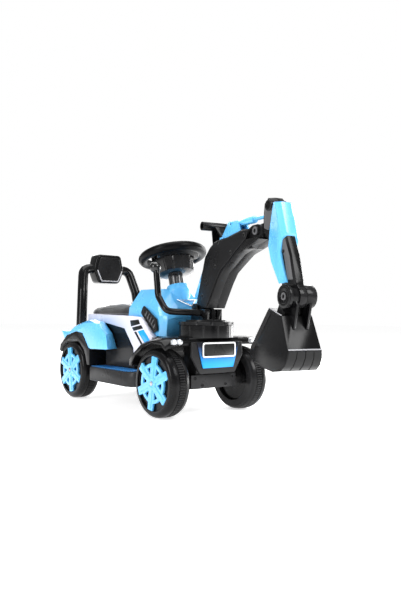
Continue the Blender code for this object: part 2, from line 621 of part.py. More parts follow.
# ---- Turret and arm ----
def turret(base):
    drum = [(0.0105, 0.2410), (0.0105, 0.2450), (0.0700, 0.2450), (0.0710, DRUM_TOP), (DRUM_R, DRUM_TOP),
        (DRUM_R, 0.2400)]
    drum += [(0.0735, 0.2390), (0.0735, 0.2073), (0.0690, 0.2073), (0.0690, 0.2410)]
    node("turret_drum", turned(drum, 36, "Z", (0, SLEW_Y, 0)), base, "black_plastic", smooth=True)
    slew = empty("slew", base, (0, SLEW_Y, 0), (0, 0, SLEW_REST))
    s0, z0 = BOOM_PIVOT
    swivel = node("swivel", disc(0.0560, 0.2454, 0.2540, 24), slew, "black_plastic")
    join(swivel, disc(0.0095, 0.2000, 0.2480, 16))
    join(swivel, arm_prism([(0.0040, 0.250), (0.0430, 0.250), (0.0430, 0.2830), (0.0040, 0.2830)],
        -ARM_HALF, ARM_HALF))
    cheek = [(s0 - 0.0190, 0.250), (0.0100, 0.250), (0.0100, 0.2750)]
    cheek += circle(BOOM_PIVOT, 0.0180, 7, radians(25), radians(155), ends=True)
    for side in (1, -1):
        join(swivel, arm_prism(cheek, side * 0.0188, side * 0.0255))
    join(swivel, disc(0.0060, -0.0300, 0.0300, SMALL_ROUND, "X", (0, -s0, z0)))
    for x in (-0.0115, 0.0055):
        cut(swivel, box(x, x + 0.0060, -0.0500, -0.0360, 0.2560, 0.2900))
    path = [(-0.0270, -0.0131, 0.2730), (-0.1178, 0.0012, 0.2760), (-0.1258, 0.0394, 0.3170),
        (-0.1277, 0.0482, 0.3800)]
    lever = node("lever_rod", tube(fillet(path, 0.022, 3), 0.0088, 8), slew, "black_plastic", smooth=True)
    knob = turned([(0.0012, -0.0150), (0.0100, -0.0140), (0.0155, -0.0040), (0.0150, 0.0060),
        (0.0090, 0.0140), (0.0012, 0.0155)], 14)
    bmesh.ops.translate(knob, vec=(-0.1290, 0.0540, 0.3960), verts=knob.verts)
    node("lever_knob", knob, slew, "black_plastic", smooth=True)
    return slew, lever


LAMP_RINGS = ((0.0077, 0.0), (0.0077, 0.0050), (0.0062, 0.0095), (0.0032, 0.0125))

BOOM_OUTLINE = [
    (-0.0110, 0.2970), (0.0580, 0.2850), (0.0800, 0.3150), (0.1050, 0.3480), (0.1290, 0.3740), (0.1530,
        0.3870),
    (0.2069, 0.4143), (0.2444, 0.4447), (0.2585, 0.4680), (0.2344, 0.4708), (0.1630, 0.4600), (0.0980,
        0.4572),
    (0.0690, 0.4440), (0.0397, 0.4208),
]


def boom(slew):
    pivot = empty("boom_lift", slew, (0, -BOOM_PIVOT[0], BOOM_PIVOT[1]))
    home = empty("boom_frame", pivot, (0, BOOM_PIVOT[0], -BOOM_PIVOT[1]))
    outline = [(-s, z) for s, z in BOOM_OUTLINE]
    slot = [(0.0400, 0.4200), (0.2080, 0.4200), (0.2080, 0.5000), (0.0400, 0.5000)]
    foot = circle(BOOM_PIVOT, 0.0155, 8, radians(70), radians(210), ends=True)
    foot += [(0.0060, 0.2870), (0.0500, 0.2880), (0.0500, 0.3040), (-0.0020, 0.3040)]
    fork = [(0.2140, 0.4220), (0.2594, 0.4230), (0.2814, 0.4390), (0.3000, 0.4400)]
    fork += circle((STICK_PIVOT[0] + 0.002, 0.4580), 0.0175, 6, radians(-45), radians(135), ends=True)
    fork += [(0.2674, 0.4755), (0.2400, 0.4660), (0.2140, 0.4560)]
    fork_way = [(0.2620, 0.4436), (0.2880, 0.4436), (0.3100, 0.4395), (0.3500, 0.4300), (0.3500, 0.5000),
        (0.2620, 0.5000)]
    nose = [(0.2069, 0.4143), (0.2600, 0.4265), (0.3060, 0.4397), (0.3000, 0.4440), (0.2444, 0.4455)]
    for side, label in ((1, "left"), (-1, "right")):
        shell = node(f"boom_shell_{label}", tray(outline, side * 0.00015, side * ARM_HALF), home,
            "black_plastic")
        cut(shell, arm_prism(slot, -0.0165, 0.0165))
        join(shell, arm_prism(foot, side * 0.00015, side * 0.0180))
        join(shell, arm_prism(fork, side * 0.00015, side * 0.0180))
        join(shell, arm_prism(nose, side * 0.00015, side * ARM_HALF))
        cut(shell, arm_prism(fork_way, -0.0090, 0.0090))
        for (s, z), radius, reach in ((BOOM_PIVOT, 0.0063, 0.05), (STICK_PIVOT, 0.0063, 0.05),
            (HANDLE_PIVOT, 0.0045, 0.0214)):
            cut(shell, disc(radius, -reach, reach, SMALL_ROUND, "X", (0, -s, z)))
    spine = [(-0.0380, 0.3100), (-0.0090, 0.3100), (0.0350, 0.4160), (0.0300, 0.4060)]
    node("boom_spine", arm_prism([(s - 0.0012, z) for s, z in spine], -0.0200, 0.0200), home, "sky_plastic")
    pin = disc(0.0060, -0.0190, 0.0190, SMALL_ROUND, "X", (0, -STICK_PIVOT[0], STICK_PIVOT[1]))
    bolt = node("stick_pin", pin, home, "black_plastic")
    for side in (1, -1):
        join(bolt, disc(0.0095, *sorted((side * 0.0184, side * 0.0230)), 16, "X",
            (0, -STICK_PIVOT[0], STICK_PIVOT[1])))
    return home


def handle(boom_home):
    """The T-handle lever, its blue bracket, and the push rod that works the stick."""
    p1, p2 = HANDLE_PIVOT, ROD_REAR
    pivot = empty("handle_swing", boom_home, (0, -p1[0], p1[1]))
    home = empty("handle_frame", pivot, (0, p1[0], -p1[1]))
    stem = [(0.0560, 0.4930), (0.0640, 0.4500), (0.0900, 0.4560), (0.1112, 0.4560), (0.1112, 0.4690),
        (0.0760, 0.4980)]
    lever = node("handle_lever", arm_prism(stem, -0.0150, 0.0150), home, "black_plastic")
    cut(lever, arm_prism(inset(counter_clockwise(stem), 0.0035), -0.0300, -0.0035))
    cut(lever, arm_prism(inset(counter_clockwise(stem), 0.0035), 0.0035, 0.0300))
    join(lever, disc(0.0117, -0.0480, 0.0480, 14, "X", (0, -0.0656, 0.4990)))
    for side in (1, -1):
        cut(lever, disc(0.0080, *sorted((side * 0.0300, side * 0.0600)), 14, "X", (0, -0.0656, 0.4990)))
    bracket = [(0.1124, 0.4690), (0.1124, 0.4600), (0.1630, 0.4630), (0.2050, 0.4700), (0.1980, 0.4850),
        (0.1880, 0.4990), (0.1450, 0.5010)]
    cheeks = node("rod_bracket", arm_prism(bracket, -0.0135, 0.0135), home, "sky_plastic")
    cut(cheeks, arm_prism([(0.1470, 0.4400), (0.2300, 0.4400), (0.2300, 0.5200), (0.1470, 0.5200)], -0.0095,
        0.0095))
    join(cheeks, disc(0.0030, -0.0110, 0.0110, 10, "X", (0, -p2[0], p2[1])))
    join(cheeks, disc(0.0040, -0.0208, 0.0208, SMALL_ROUND, "X", (0, -p1[0], p1[1])))
    swing = empty("rod_swing", home, (0, -p2[0], p2[1]))
    rod_home = empty("rod_frame", swing, (0, p2[0], -p2[1]))
    rod = node("push_rod", disc(0.0088, 0.0, 0.0780, 14, "Y", (0, -0.2500, p2[1])), rod_home,
        "bright_plastic")
    join(rod, disc(0.0045, 0.0, 0.0850, 10, "Y", (0, -ROD_FRONT[0] + 0.0040, p2[1])))
    join(rod, disc(0.0068, -0.0085, 0.0085, 12, "X", (0, -ROD_REAR[0], p2[1])))
    join(rod, disc(0.0068, -0.0055, 0.0055, 12, "X", (0, -ROD_FRONT[0], p2[1])))
    join(rod, disc(0.0055, 0.0, 0.0160, 10, "Y", (0, -ROD_REAR[0] - 0.0160, p2[1])))
    for s in (ROD_REAR[0], ROD_FRONT[0]):
        cut(rod, disc(0.0036, -0.02, 0.02, 10, "X", (0, -s, p2[1])))


def stick(boom_home):
    pivot = empty("stick_swing", boom_home, (0, -STICK_PIVOT[0], STICK_PIVOT[1]))
    home = empty("stick_frame", pivot, (0, STICK_PIVOT[0], -STICK_PIVOT[1]))
    core = [(0.3137, 0.4900), (0.3177, 0.5170), (0.3327, 0.5280), (0.3487, 0.5265), (0.3667, 0.5110),
        (0.3937, 0.4400)]
    core += [(0.4127, 0.3950), (0.4277, 0.3320), (0.3877, 0.3320), (0.3487, 0.3950), (0.3367, 0.4300),
        (0.3137, 0.4580)]
    back = core[:3] + [(0.3417, 0.5245), (0.3582, 0.5085), (0.3852, 0.4370), (0.4044, 0.3925),
        (0.4192, 0.3320)] + core[8:]
    body = node("stick_core",
        arm_loft(((-STICK_HALF, back), (-0.0095, core), (0.0095, core), (STICK_HALF, back))), home,
        "black_plastic")
    lug = circle(STICK_PIVOT, 0.0165, 9, radians(80), radians(200), ends=True) + [(0.3230, 0.4440),
        (0.3280, 0.4780)]
    join(body, arm_prism(lug, -0.0086, 0.0086))
    cut(body, disc(0.0064, -0.05, 0.05, SMALL_ROUND, "X", (0, -STICK_PIVOT[0], STICK_PIVOT[1])))
    cut(body, arm_prism([(0.3000, 0.4760), (0.3450, 0.4760), (0.3450, 0.5150), (0.3000, 0.5150)], -0.0070,
        0.0070))
    join(body, disc(0.0030, -0.0100, 0.0100, 10, "X", (0, -ROD_FRONT[0], ROD_FRONT[1])))
    for side in (1, -1):
        join(body, disc(0.0126, *sorted((side * 0.0103, side * (STICK_HALF + 0.0020))), 16, "X",
            (0, -0.3383, 0.5110)))
    join(body, arm_prism([(0.3950, 0.3065), (0.4420, 0.3065), (0.4250, 0.3420), (0.3930, 0.3420)], -0.0084,
        0.0084))
    cover = [(0.3660, 0.5130), (0.3487, 0.4656), (0.3416, 0.4184), (0.3529, 0.3840), (0.3837, 0.3345),
        (0.4107, 0.3365)]
    cover += [(0.3967, 0.3700), (0.3869, 0.4030), (0.3897, 0.4300), (0.3989, 0.4425), (0.3762, 0.5130)]
    drawn = [(0.3610, 0.5130), *cover[1:9], (0.3900, 0.4405), (0.3665, 0.5130)]
    ends = ((-COVER_HALF, drawn), (-0.0130, cover), (0.0130, cover), (COVER_HALF, drawn))
    shell = node("stick_cover", arm_loft(ends), home, "sky_plastic")
    hollow = [(0.2900, 0.5200), (0.2900, 0.3000), (0.4427, 0.3000), (0.3972, 0.4300), (0.3940, 0.4404),
        (0.3700, 0.5104), (0.3667, 0.5200)]
    far = hollow[:2] + [(0.4344, 0.3000), (0.3889, 0.4300), (0.3857, 0.4404), (0.3617, 0.5104),
        (0.3584, 0.5200)]
    inside = STICK_HALF + GAP
    cut(shell, arm_loft(((-inside, far), (-0.0100, hollow), (0.0100, hollow), (inside, far))))
    join(body, disc(WRIST_R - 0.0005, -KNUCKLE_HALF, KNUCKLE_HALF, 20, "X", (0, -WRIST[0], WRIST[1])))
    cut(body, disc(0.0064, -0.05, 0.05, SMALL_ROUND, "X", (0, -WRIST[0], WRIST[1])))
    swing = empty("bucket_swing", home, (0, -WRIST[0], WRIST[1]))
    return empty("bucket_frame", swing, (0, WRIST[0], -WRIST[1]))


def bucket(home):
    outline = [(0.3690, 0.2830), (0.3020, 0.1965), (0.3077, 0.1713), (0.3560, 0.1560), (0.3950, 0.1500),
        (0.4250, 0.1540)]
    outline += [(0.4370, 0.1650), (0.4455, 0.1810), (0.4475, 0.1955), (0.4450, 0.1975), (0.4180, 0.2660)]
    scoop = node("bucket", drawn_in(arm_prism(outline, -BUCKET_HALF, BUCKET_HALF)), home, "black_plastic")
    floor = [(0.3600, 0.2850), (0.2900, 0.2100), (0.3020, 0.1760), (0.3560, 0.1600), (0.3950, 0.1540),
        (0.4235, 0.1578)]
    floor += [(0.4335, 0.1672), (0.4415, 0.1825), (0.4428, 0.1930), (0.4405, 0.1955), (0.4130, 0.2620),
        (0.3720, 0.2772)]
    cut(scoop, drawn_in(arm_prism(floor, -BUCKET_HALF + WALL, BUCKET_HALF - WALL)))
    barrels = ((WRIST_R, -WRIST_HALF, -0.0270), (0.0220, -0.0280, -0.0092), (WRIST_R, 0.0092, WRIST_HALF))
    for radius, low, high in barrels:
        join(scoop, disc(radius, low, high, 20, "X", (0, -WRIST[0], WRIST[1])))
    ear = [(0.3950, 0.2700), (0.3990, 0.2960), (0.4380, 0.2960), (0.4420, 0.2880), (0.4310, 0.2390),
        (0.4235, 0.2390), (0.4120, 0.2620)]
    for middle in (-0.0150, 0.0180):
        join(scoop, arm_prism(ear, middle - 0.0028, middle + 0.0028))
    for side in (1, -1):
        block = [(0.3890, 0.2722), (0.4030, 0.2990), (0.4130, 0.2990), (0.4100, 0.2650)]
        join(scoop, arm_prism(block, *sorted((side * 0.0105, side * 0.0320))))
    cut(scoop, disc(0.0062, -0.05, 0.05, SMALL_ROUND, "X", (0, -WRIST[0], WRIST[1])))
    node("wrist_pin", disc(0.0058, -0.0330, 0.0330, SMALL_ROUND, "X", (0, -WRIST[0], WRIST[1])), home,
        "steel", smooth=True)


def drawn_in(bm):
    """Narrows a bucket shape steadily towards its top."""
    for vert in bm.verts:
        low = min(1.0, max(0.0, (vert.co.z - 0.1550) / 0.0415))
        high = min(1.0, max(0.0, (vert.co.z - 0.1965) / 0.0865))
        vert.co.x *= 1 - 0.115 * low - 0.09 * high
    return bm


def main():
    clear_scene()
    base = empty("vehicle", None, (0, ORIGIN_SHIFT_Y, 0))
    lower_body(base)
    inner_parts(base)
    upper_shell(base)
    for side, label, phase in ((1, "left", -0.129), (-1, "right", 0.129)):
        rear_side(base, side, label)
        spin = empty(f"rear_spin_{label}", base, (0, WHEELBASE, WHEEL_R))
        wheel(f"rear_{label}", side, spin, phase)
    rear_end(base)
    seat(base)
    hood(base)
    steering(base)
    front_cover(base)
    front_axle(base)
    slew, _ = turret(base)
    boom_home = boom(slew)
    handle(boom_home)
    bucket(stick(boom_home))


main()
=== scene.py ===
"""Looks for the ride-on digger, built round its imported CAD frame.

Pieces are drawn in the vehicle's own frame: metres, +Z up, forward -Y, with the front axle over y = 0. The
arm's pieces are drawn straight ahead, as (forward, up) points, and the arm frame turns them to the stored pose.
"""

from math import asin, cos, pi, radians, sin, tan

import bmesh
import bpy
from mathutils import Matrix, Vector


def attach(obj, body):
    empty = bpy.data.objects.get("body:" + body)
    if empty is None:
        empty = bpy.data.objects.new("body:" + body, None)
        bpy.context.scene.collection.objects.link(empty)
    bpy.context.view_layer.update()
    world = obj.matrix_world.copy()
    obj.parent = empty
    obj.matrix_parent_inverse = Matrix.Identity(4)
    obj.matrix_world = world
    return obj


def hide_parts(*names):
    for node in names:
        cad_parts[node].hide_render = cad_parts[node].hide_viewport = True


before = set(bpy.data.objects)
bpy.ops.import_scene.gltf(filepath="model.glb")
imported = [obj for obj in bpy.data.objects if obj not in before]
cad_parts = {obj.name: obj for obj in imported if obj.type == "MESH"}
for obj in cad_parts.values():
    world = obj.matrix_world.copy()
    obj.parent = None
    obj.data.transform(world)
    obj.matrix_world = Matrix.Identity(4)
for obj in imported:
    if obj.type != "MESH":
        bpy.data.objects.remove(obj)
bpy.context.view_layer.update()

# ---- Driving dimensions (metres), the CAD part's own ----
AXLE_Y = -0.0732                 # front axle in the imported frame
WHEELBASE = 0.4706
WHEEL_R = 0.090
WHEEL_X = 0.105                  # inner face of a tyre from the middle plane
FRONT_PHASE = 0.131              # how far the near front trim is turned
REAR_PHASE = -0.129
SLEW_Y = -0.015
SLEW_REST = radians(-11.9)
COLUMN_TILT = radians(15.5)
COLUMN_FOOT = (0.0, 0.117, 0.338)
WHEEL_RISE = 0.106
RIM_R = 0.0870
RIM_TUBE = 0.0140
ARM_HALF = 0.025
STICK_PIVOT = (0.288, 0.4603)
HANDLE_PIVOT = (0.116, 0.4603)
ROD_REAR = (0.160, 0.4935)
WRIST = (0.4185, 0.3065)
STICK_HALF = 0.0170
BUCKET_HALF = 0.0475
SIDE_PANEL_X = 0.1030            # outer face of the white side panel
VENT_X = 0.0930                  # outer face of the hood beside the vents
SADDLE_FLOOR = 0.2624            # underside of the saddle
SKIN = 0.0004                    # how far a printed decal stands off its panel
LIGHT_GAIN = 1.15                # brightness of the whole set of lamps
SIDES = ((1, "left"), (-1, "right"))

VEHICLE = Matrix.Translation((0, AXLE_Y, 0))
ARM = VEHICLE @ Matrix.Translation((0, SLEW_Y, 0)) @ Matrix.Rotation(SLEW_REST, 4, "Z")
COLUMN = VEHICLE @ Matrix.Translation(COLUMN_FOOT) @ Matrix.Rotation(-COLUMN_TILT, 4, "X")
# A plate's (u, v, depth) onto (y, z, x), and onto (x, z, -y)
ALONG_X = Matrix(((0, 0, 1, 0), (1, 0, 0, 0), (0, 1, 0, 0), (0, 0, 0, 1)))
FACING = Matrix(((1, 0, 0, 0), (0, 0, -1, 0), (0, 1, 0, 0), (0, 0, 0, 1)))


def on_side(side, x):
    """Puts a plate on a side of the vehicle, (u, v) as (y, z), rising outwards from x."""
    return VEHICLE @ Matrix.Diagonal((side, 1, 1, 1)) @ Matrix.Translation((x, 0, 0)) @ ALONG_X


def on_arm(side, x):
    """Puts a plate on a side of the arm, (u, v) as (forward, up), rising outwards from x."""
    return ARM @ Matrix.Diagonal((side, -1, 1, 1)) @ Matrix.Translation((x, 0, 0)) @ ALONG_X


# ---- Materials ----
class Nodes:
    """A small helper that adds linked nodes to one material."""

    def __init__(self, name):
        self.material = bpy.data.materials.new(name)
        self.material.use_nodes = True
        self.tree = self.material.node_tree
        self.shader = self.tree.nodes["Principled BSDF"]
        self.coords = self.tree.nodes.new("ShaderNodeTexCoord").outputs["Object"]

    def add(self, kind, settings=(), **links):
        made = self.tree.nodes.new(kind)
        for key, value in dict(settings).items():
            if hasattr(made, key):
                setattr(made, key, value)
            else:
                made.inputs[key].default_value = value
        for key, value in links.items():
            self.tree.links.new(value, made.inputs[key.replace("_", " ")])
        return made

    def noise(self, scale, detail=2.0):
        return self.add(
            "ShaderNodeTexNoise", {"Scale": scale, "Detail": detail}, Vector=self.coords
        ).outputs["Fac"]

    def span(self, value, low, high, start=0.0, end=1.0):
        settings = {"From Min": start, "From Max": end, "To Min": low, "To Max": high}
        return self.add("ShaderNodeMapRange", settings, Value=value).outputs["Result"]

    def ramp(self, value, stops):
        made = self.add("ShaderNodeValToRGB", Fac=value)
        ramp = made.color_ramp
        while len(ramp.elements) < len(stops):
            ramp.elements.new(0.5)
        for element, (position, colour) in zip(ramp.elements, stops):
            element.position = position
            element.color = (*colour, 1)
        return made.outputs["Color"]

    def math(self, operation, a, b=None):
        made = self.tree.nodes.new("ShaderNodeMath")
        made.operation = operation
        for socket, value in zip(made.inputs, (a, b)):
            if isinstance(value, (int, float)):
                socket.default_value = value
            elif value is not None:
                self.tree.links.new(value, socket)
        return made.outputs[0]

    def link(self, value, name):
        self.tree.links.new(value, self.shader.inputs[name])

    def bump(self, height, strength, distance):
        made = self.add("ShaderNodeBump", {"Strength": strength, "Distance": distance}, Height=height)
        self.link(made.outputs["Normal"], "Normal")


def shade(colour, factor):
    return tuple(min(1.0, c * factor) for c in colour)


def plastic(name, colour, roughness, grain=0.15, mottle=0.05, coat=0.0, edge_paling=1.15, specular=0.5, sheen=0.0):
    """Injection-moulded plastic: a fine grain, uneven gloss, faint flow marks and sharp edges mixed towards a
    paler colour.
    """
    n = Nodes(name)
    flow = n.noise(9.0, 3.0)
    base = n.ramp(flow, [(0.30, shade(colour, 1 - mottle)), (0.70, shade(colour, 1 + mottle))])
    # Sharp convex edges, found by pointiness, are mixed towards a paler colour.
    edge = n.span(n.add("ShaderNodeNewGeometry").outputs["Pointiness"], 0.0, 1.0, 0.52, 0.60)
    paled_edges = n.add("ShaderNodeMix", {"data_type": "RGBA"})
    n.tree.links.new(edge, paled_edges.inputs["Factor"])
    n.tree.links.new(base, paled_edges.inputs["A"])
    paled_edges.inputs["B"].default_value = (*shade([c + 0.01 for c in colour], edge_paling), 1)
    n.link(paled_edges.outputs["Result"], "Base Color")
    n.link(n.span(n.noise(26.0, 4.0), roughness * 0.78, roughness * 1.22, 0.3, 0.7), "Roughness")
    n.bump(n.noise(1100.0, 2.0), grain, 0.0003)
    n.shader.inputs["Coat Weight"].default_value = coat
    n.shader.inputs["Specular IOR Level"].default_value = specular
    n.shader.inputs["Coat Roughness"].default_value = 0.12
    n.shader.inputs["Sheen Weight"].default_value = sheen
    n.shader.inputs["Sheen Roughness"].default_value = 0.35
    return n.material


def chrome():
    n = Nodes("chromed_plastic")
    n.link(n.ramp(n.noise(18.0), [(0.3, (0.66, 0.67, 0.69)), (0.7, (0.86, 0.87, 0.89))]), "Base Color")
    n.link(n.span(n.noise(60.0, 3.0), 0.06, 0.20, 0.3, 0.7), "Roughness")
    n.bump(n.noise(240.0), 0.05, 0.0003)
    n.shader.inputs["Metallic"].default_value = 1.0
    return n.material


def lens():
    n = Nodes("clear_lamp")
    n.link(n.ramp(n.noise(90.0), [(0.35, (0.62, 0.65, 0.68)), (0.65, (0.95, 0.97, 1.0))]), "Base Color")
    n.link(n.span(n.noise(120.0), 0.03, 0.12), "Roughness")
    n.bump(n.noise(300.0), 0.25, 0.0005)
    n.shader.inputs["Metallic"].default_value = 0.55
    n.shader.inputs["Coat Weight"].default_value = 1.0
    return n.material


def grid_mat():
    """Blue foot mat with a raised square grid."""
    n = Nodes("step_mat_grid")
    axes = n.add("ShaderNodeSeparateXYZ", Vector=n.coords)
    lines = []
    for axis in ("X", "Y"):
        phase = n.math("FRACT", n.math("MULTIPLY", axes.outputs[axis], 110.0))
        lines.append(n.math("LESS_THAN", n.math("ABSOLUTE", n.math("SUBTRACT", phase, 0.5)), 0.17))
    ridge = n.math("MAXIMUM", lines[0], lines[1])
    n.link(n.ramp(ridge, [(0.0, (0.006, 0.085, 0.26)), (1.0, (0.02, 0.20, 0.52))]), "Base Color")
    n.link(n.span(n.noise(40.0), 0.30, 0.50), "Roughness")
    n.bump(ridge, 0.8, 0.0008)
    return n.material


def printed_panel():
    """The front panel: black at the top, running down to a bright blue."""
    n = Nodes("front_panel_print")
    height = n.add("ShaderNodeSeparateXYZ", Vector=n.coords).outputs["Z"]
    fade = n.span(height, 0.0, 1.0, 0.128, 0.190)
    soft = n.math("ADD", fade, n.math("MULTIPLY", n.math("SUBTRACT", n.noise(30.0), 0.5), 0.06))
    stops = [
        (0.0, (0.004, 0.36, 0.90)), (0.22, (0.004, 0.31, 0.84)), (0.62, (0.012, 0.09, 0.28)),
        (0.92, (0.012, 0.014, 0.02))
    ]
    n.link(n.ramp(soft, stops), "Base Color")
    n.link(n.span(n.noise(30.0), 0.16, 0.26), "Roughness")
    n.bump(n.noise(900.0), 0.06, 0.0003)
    n.shader.inputs["Coat Weight"].default_value = 0.08
    n.shader.inputs["Specular IOR Level"].default_value = 0.2
    return n.material


def steel():
    n = Nodes("plain_steel")
    n.link(n.ramp(n.noise(60.0, 4.0), [(0.3, (0.36, 0.36, 0.37)), (0.7, (0.58, 0.58, 0.60))]), "Base Color")
    n.link(n.span(n.noise(200.0), 0.25, 0.45), "Roughness")
    n.bump(n.noise(700.0), 0.1, 0.0003)
    n.shader.inputs["Metallic"].default_value = 1.0
    return n.material


SKY = plastic("sky_blue_plastic", (0.115, 0.485, 0.88), 0.26, grain=0.10, coat=0.35, edge_paling=1.12)
BRIGHT = plastic("bright_blue_print", (0.006, 0.36, 0.90), 0.22, grain=0.05, coat=0.3, edge_paling=1.05)
BLACK = plastic(
    "black_plastic", (0.0032, 0.0032, 0.0036), 0.20, grain=0.16, mottle=0.2, edge_paling=2.2, specular=0.15
)
SATIN = plastic(
    "satin_black_plastic", (0.0058, 0.0058, 0.0064), 0.30, grain=0.22, mottle=0.15, edge_paling=2.4, specular=0.16
)
GLOSS = plastic(
    "gloss_black_plastic", (0.0045, 0.0045, 0.0050), 0.14, grain=0.05, mottle=0.2, coat=0.35, edge_paling=2.0,
    specular=0.35
)
TYRE = plastic(
    "tyre_plastic", (0.0030, 0.0030, 0.0034), 0.24, grain=0.14, mottle=0.2, coat=0.03, edge_paling=2.6,
    specular=0.14
)
WHITE = plastic("pale_white_plastic", (0.70, 0.70, 0.80), 0.34, grain=0.12, mottle=0.02, coat=0.15, edge_paling=1.05)
PRINT = plastic(
    "printed_black", (0.007, 0.007, 0.007), 0.30, grain=0.05, mottle=0.25, edge_paling=1.6, specular=0.15
)
BORDER = plastic("printed_white", (0.88, 0.88, 0.90), 0.28, grain=0.04, mottle=0.02, edge_paling=1.0)
SHEEN = plastic(
    "sheen_black_plastic", (0.0030, 0.0030, 0.0034), 0.20, grain=0.06, mottle=0.2, coat=0.10, edge_paling=2.0,
    specular=0.15
)
SADDLE = plastic(
    "saddle_plastic", (0.0060, 0.0060, 0.0070), 0.16, grain=0.05, mottle=0.2, coat=1.0, edge_paling=1.6,
    specular=0.8, sheen=1.0
)
GRIP = plastic(
    "grip_plastic", (0.0030, 0.0030, 0.0034), 0.33, grain=0.18, mottle=0.2, edge_paling=2.0, specular=0.07
)
# Grey on black parts, lighter where a face catches the light: painted light and painted highlight.
PAINTED_LIGHT_GREY = plastic(
    "painted_light_grey_plastic", (0.080, 0.080, 0.084), 0.34, grain=0.20, mottle=0.12, edge_paling=1.5, specular=0.3
)
# Light grey on beads and ridges, standing in for their bright glint: painted highlight.
PAINTED_HIGHLIGHT = plastic("painted_highlight_lip", (0.34, 0.34, 0.36), 0.25, grain=0.08, edge_paling=1.1, specular=0.5)
# Near-black without gloss, laid where holes and sunk middles fall into shade: painted shade.
PAINTED_SHADE = plastic("painted_shade_disc", (0.0010, 0.0010, 0.0010), 0.90, grain=0.05, edge_paling=1.0, specular=0.0)
CHROME = chrome()
LENS = lens()
GRID = grid_mat()
PANEL = printed_panel()
STEEL = steel()


# ---- Turning shapes into pieces ----
def linked(name, data):
    """A new object in the scene, holding that data."""
    obj = bpy.data.objects.new(name, data)
    bpy.context.scene.collection.objects.link(obj)
    return obj


def soften(obj, width, segments, angle):
    """A bevel on every edge sharper than the angle."""
    step = obj.modifiers.new("edges", "BEVEL")
    step.width = width
    step.segments = segments
    step.limit_method = "ANGLE"
    step.angle_limit = radians(angle)
    step.harden_normals = True
    return step


def piece(name, bm, place, body, nodes, material, bevel=0.0, segments=3, angle=30):
    """A named piece with its finish and softened edges, on its CAD body and in place of those nodes."""
    bmesh.ops.transform(bm, matrix=place, verts=bm.verts)
    bmesh.ops.recalc_face_normals(bm, faces=bm.faces)
    mesh = bpy.data.meshes.new(name)
    bm.to_mesh(mesh)
    bm.free()
    obj = linked(name, mesh)
    mesh.materials.append(material)
    mesh.shade_smooth()
    if bevel:
        step = soften(obj, bevel, segments, angle)
        step.use_clamp_overlap = True
    else:
        mesh.set_sharp_from_angle(angle=radians(angle))
    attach(obj, body)
    if nodes:
        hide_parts(*nodes)


def plate(name, outlines, depth, place, body, nodes, material, rim=0.0006, rim_steps=2, **looks):
    """A flat plate with a rounded rim, from outlines in its own (u, v) plane, rising from 0 to depth.

    An outline inside another is a hole.
    """
    curve = bpy.data.curves.new(name, "CURVE")
    curve.dimensions = "2D"
    curve.fill_mode = "BOTH"
    curve.extrude = depth / 2 - rim
    curve.bevel_depth = rim
    curve.bevel_resolution = rim_steps
    curve.offset = -rim
    for outline in outlines:
        spline = curve.splines.new("POLY")
        spline.points.add(len(outline) - 1)
        for point, (u, v) in zip(spline.points, outline):
            point.co = (u, v, 0, 1)
        spline.use_cyclic_u = True
    helper = linked(f"{name}_outline", curve)
    mesh = bpy.data.meshes.new_from_object(helper.evaluated_get(bpy.context.evaluated_depsgraph_get()))
    bpy.data.objects.remove(helper, do_unlink=True)
    bm = bmesh.new()
    bm.from_mesh(mesh)
    bpy.data.meshes.remove(mesh)
    bmesh.ops.remove_doubles(bm, verts=bm.verts, dist=1e-6)
    bmesh.ops.translate(bm, vec=(0, 0, depth / 2), verts=bm.verts)
    piece(name, bm, place, body, nodes, material, **looks)


def dress(nodes, material, bevel=0.0012, segments=2, angle=40):
    """A CAD node that is shown as it is gets its finish and softened edges."""
    for name in nodes:
        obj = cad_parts[name]
        obj.data.materials.clear()
        obj.data.materials.append(material)
        weld = obj.modifiers.new("weld", "WELD")
        weld.merge_threshold = 1e-5
        soften(obj, bevel, segments, angle)
        obj.data.shade_smooth()


# ---- Shapes ----
def rings(sections, closed=False):
    """A loft through rings of points; the ends are capped unless the loft closes on itself."""
    bm = bmesh.new()
    rows = [[bm.verts.new(point) for point in section] for section in sections]
    count = len(rows[0])
    for row in range(len(rows) if closed else len(rows) - 1):
        here, there = rows[row], rows[(row + 1) % len(rows)]
        for i in range(count):
            j = (i + 1) % count
            bm.faces.new((here[i], here[j], there[j], there[i]))
    if not closed:
        bm.faces.new(rows[0])
        bm.faces.new(rows[-1])
    return bm


def turned(profile, sides, radius_of=None):
    """A closed profile of (radius, height) points turned about Z.

    radius_of(point, radius, step) may vary a radius round the turn.
    """
    sections = []
    for i in range(sides):
        a = 2 * pi * i / sides
        ring = []
        for k, (r, h) in enumerate(profile):
            r = radius_of(k, r, i) if radius_of else r
            ring.append((r * cos(a), r * sin(a), h))
        sections.append(ring)
    return rings(sections, closed=True)


def arc(centre, radius, start, end, steps):
    """Points on an arc, in degrees."""
    made = []
    for i in range(steps + 1):
        a = radians(start + (end - start) * i / steps)
        made.append((centre[0] + radius * cos(a), centre[1] + radius * sin(a)))
    return made


def rounded(outline, radius, steps=4):
    """An outline with its corners rounded."""
    made = []
    count = len(outline)
    for i in range(count):
        p0, p1, p2 = (Vector(outline[j % count]) for j in (i - 1, i, i + 1))
        a, b = (p0 - p1), (p2 - p1)
        reach = min(radius, 0.45 * a.length, 0.45 * b.length)
        start, end = p1 + a.normalized() * reach, p1 + b.normalized() * reach
        for k in range(steps + 1):
            t = k / steps
            made.append(tuple((1 - t) ** 2 * start + 2 * t * (1 - t) * p1 + t ** 2 * end))
    return made


def scaled(outline, factor):
    """An outline scaled about the mean of its corners."""
    centre = [sum(p[i] for p in outline) / len(outline) for i in (0, 1)]
    return [(centre[0] + (u - centre[0]) * factor, centre[1] + (v - centre[1]) * factor) for u, v in outline]


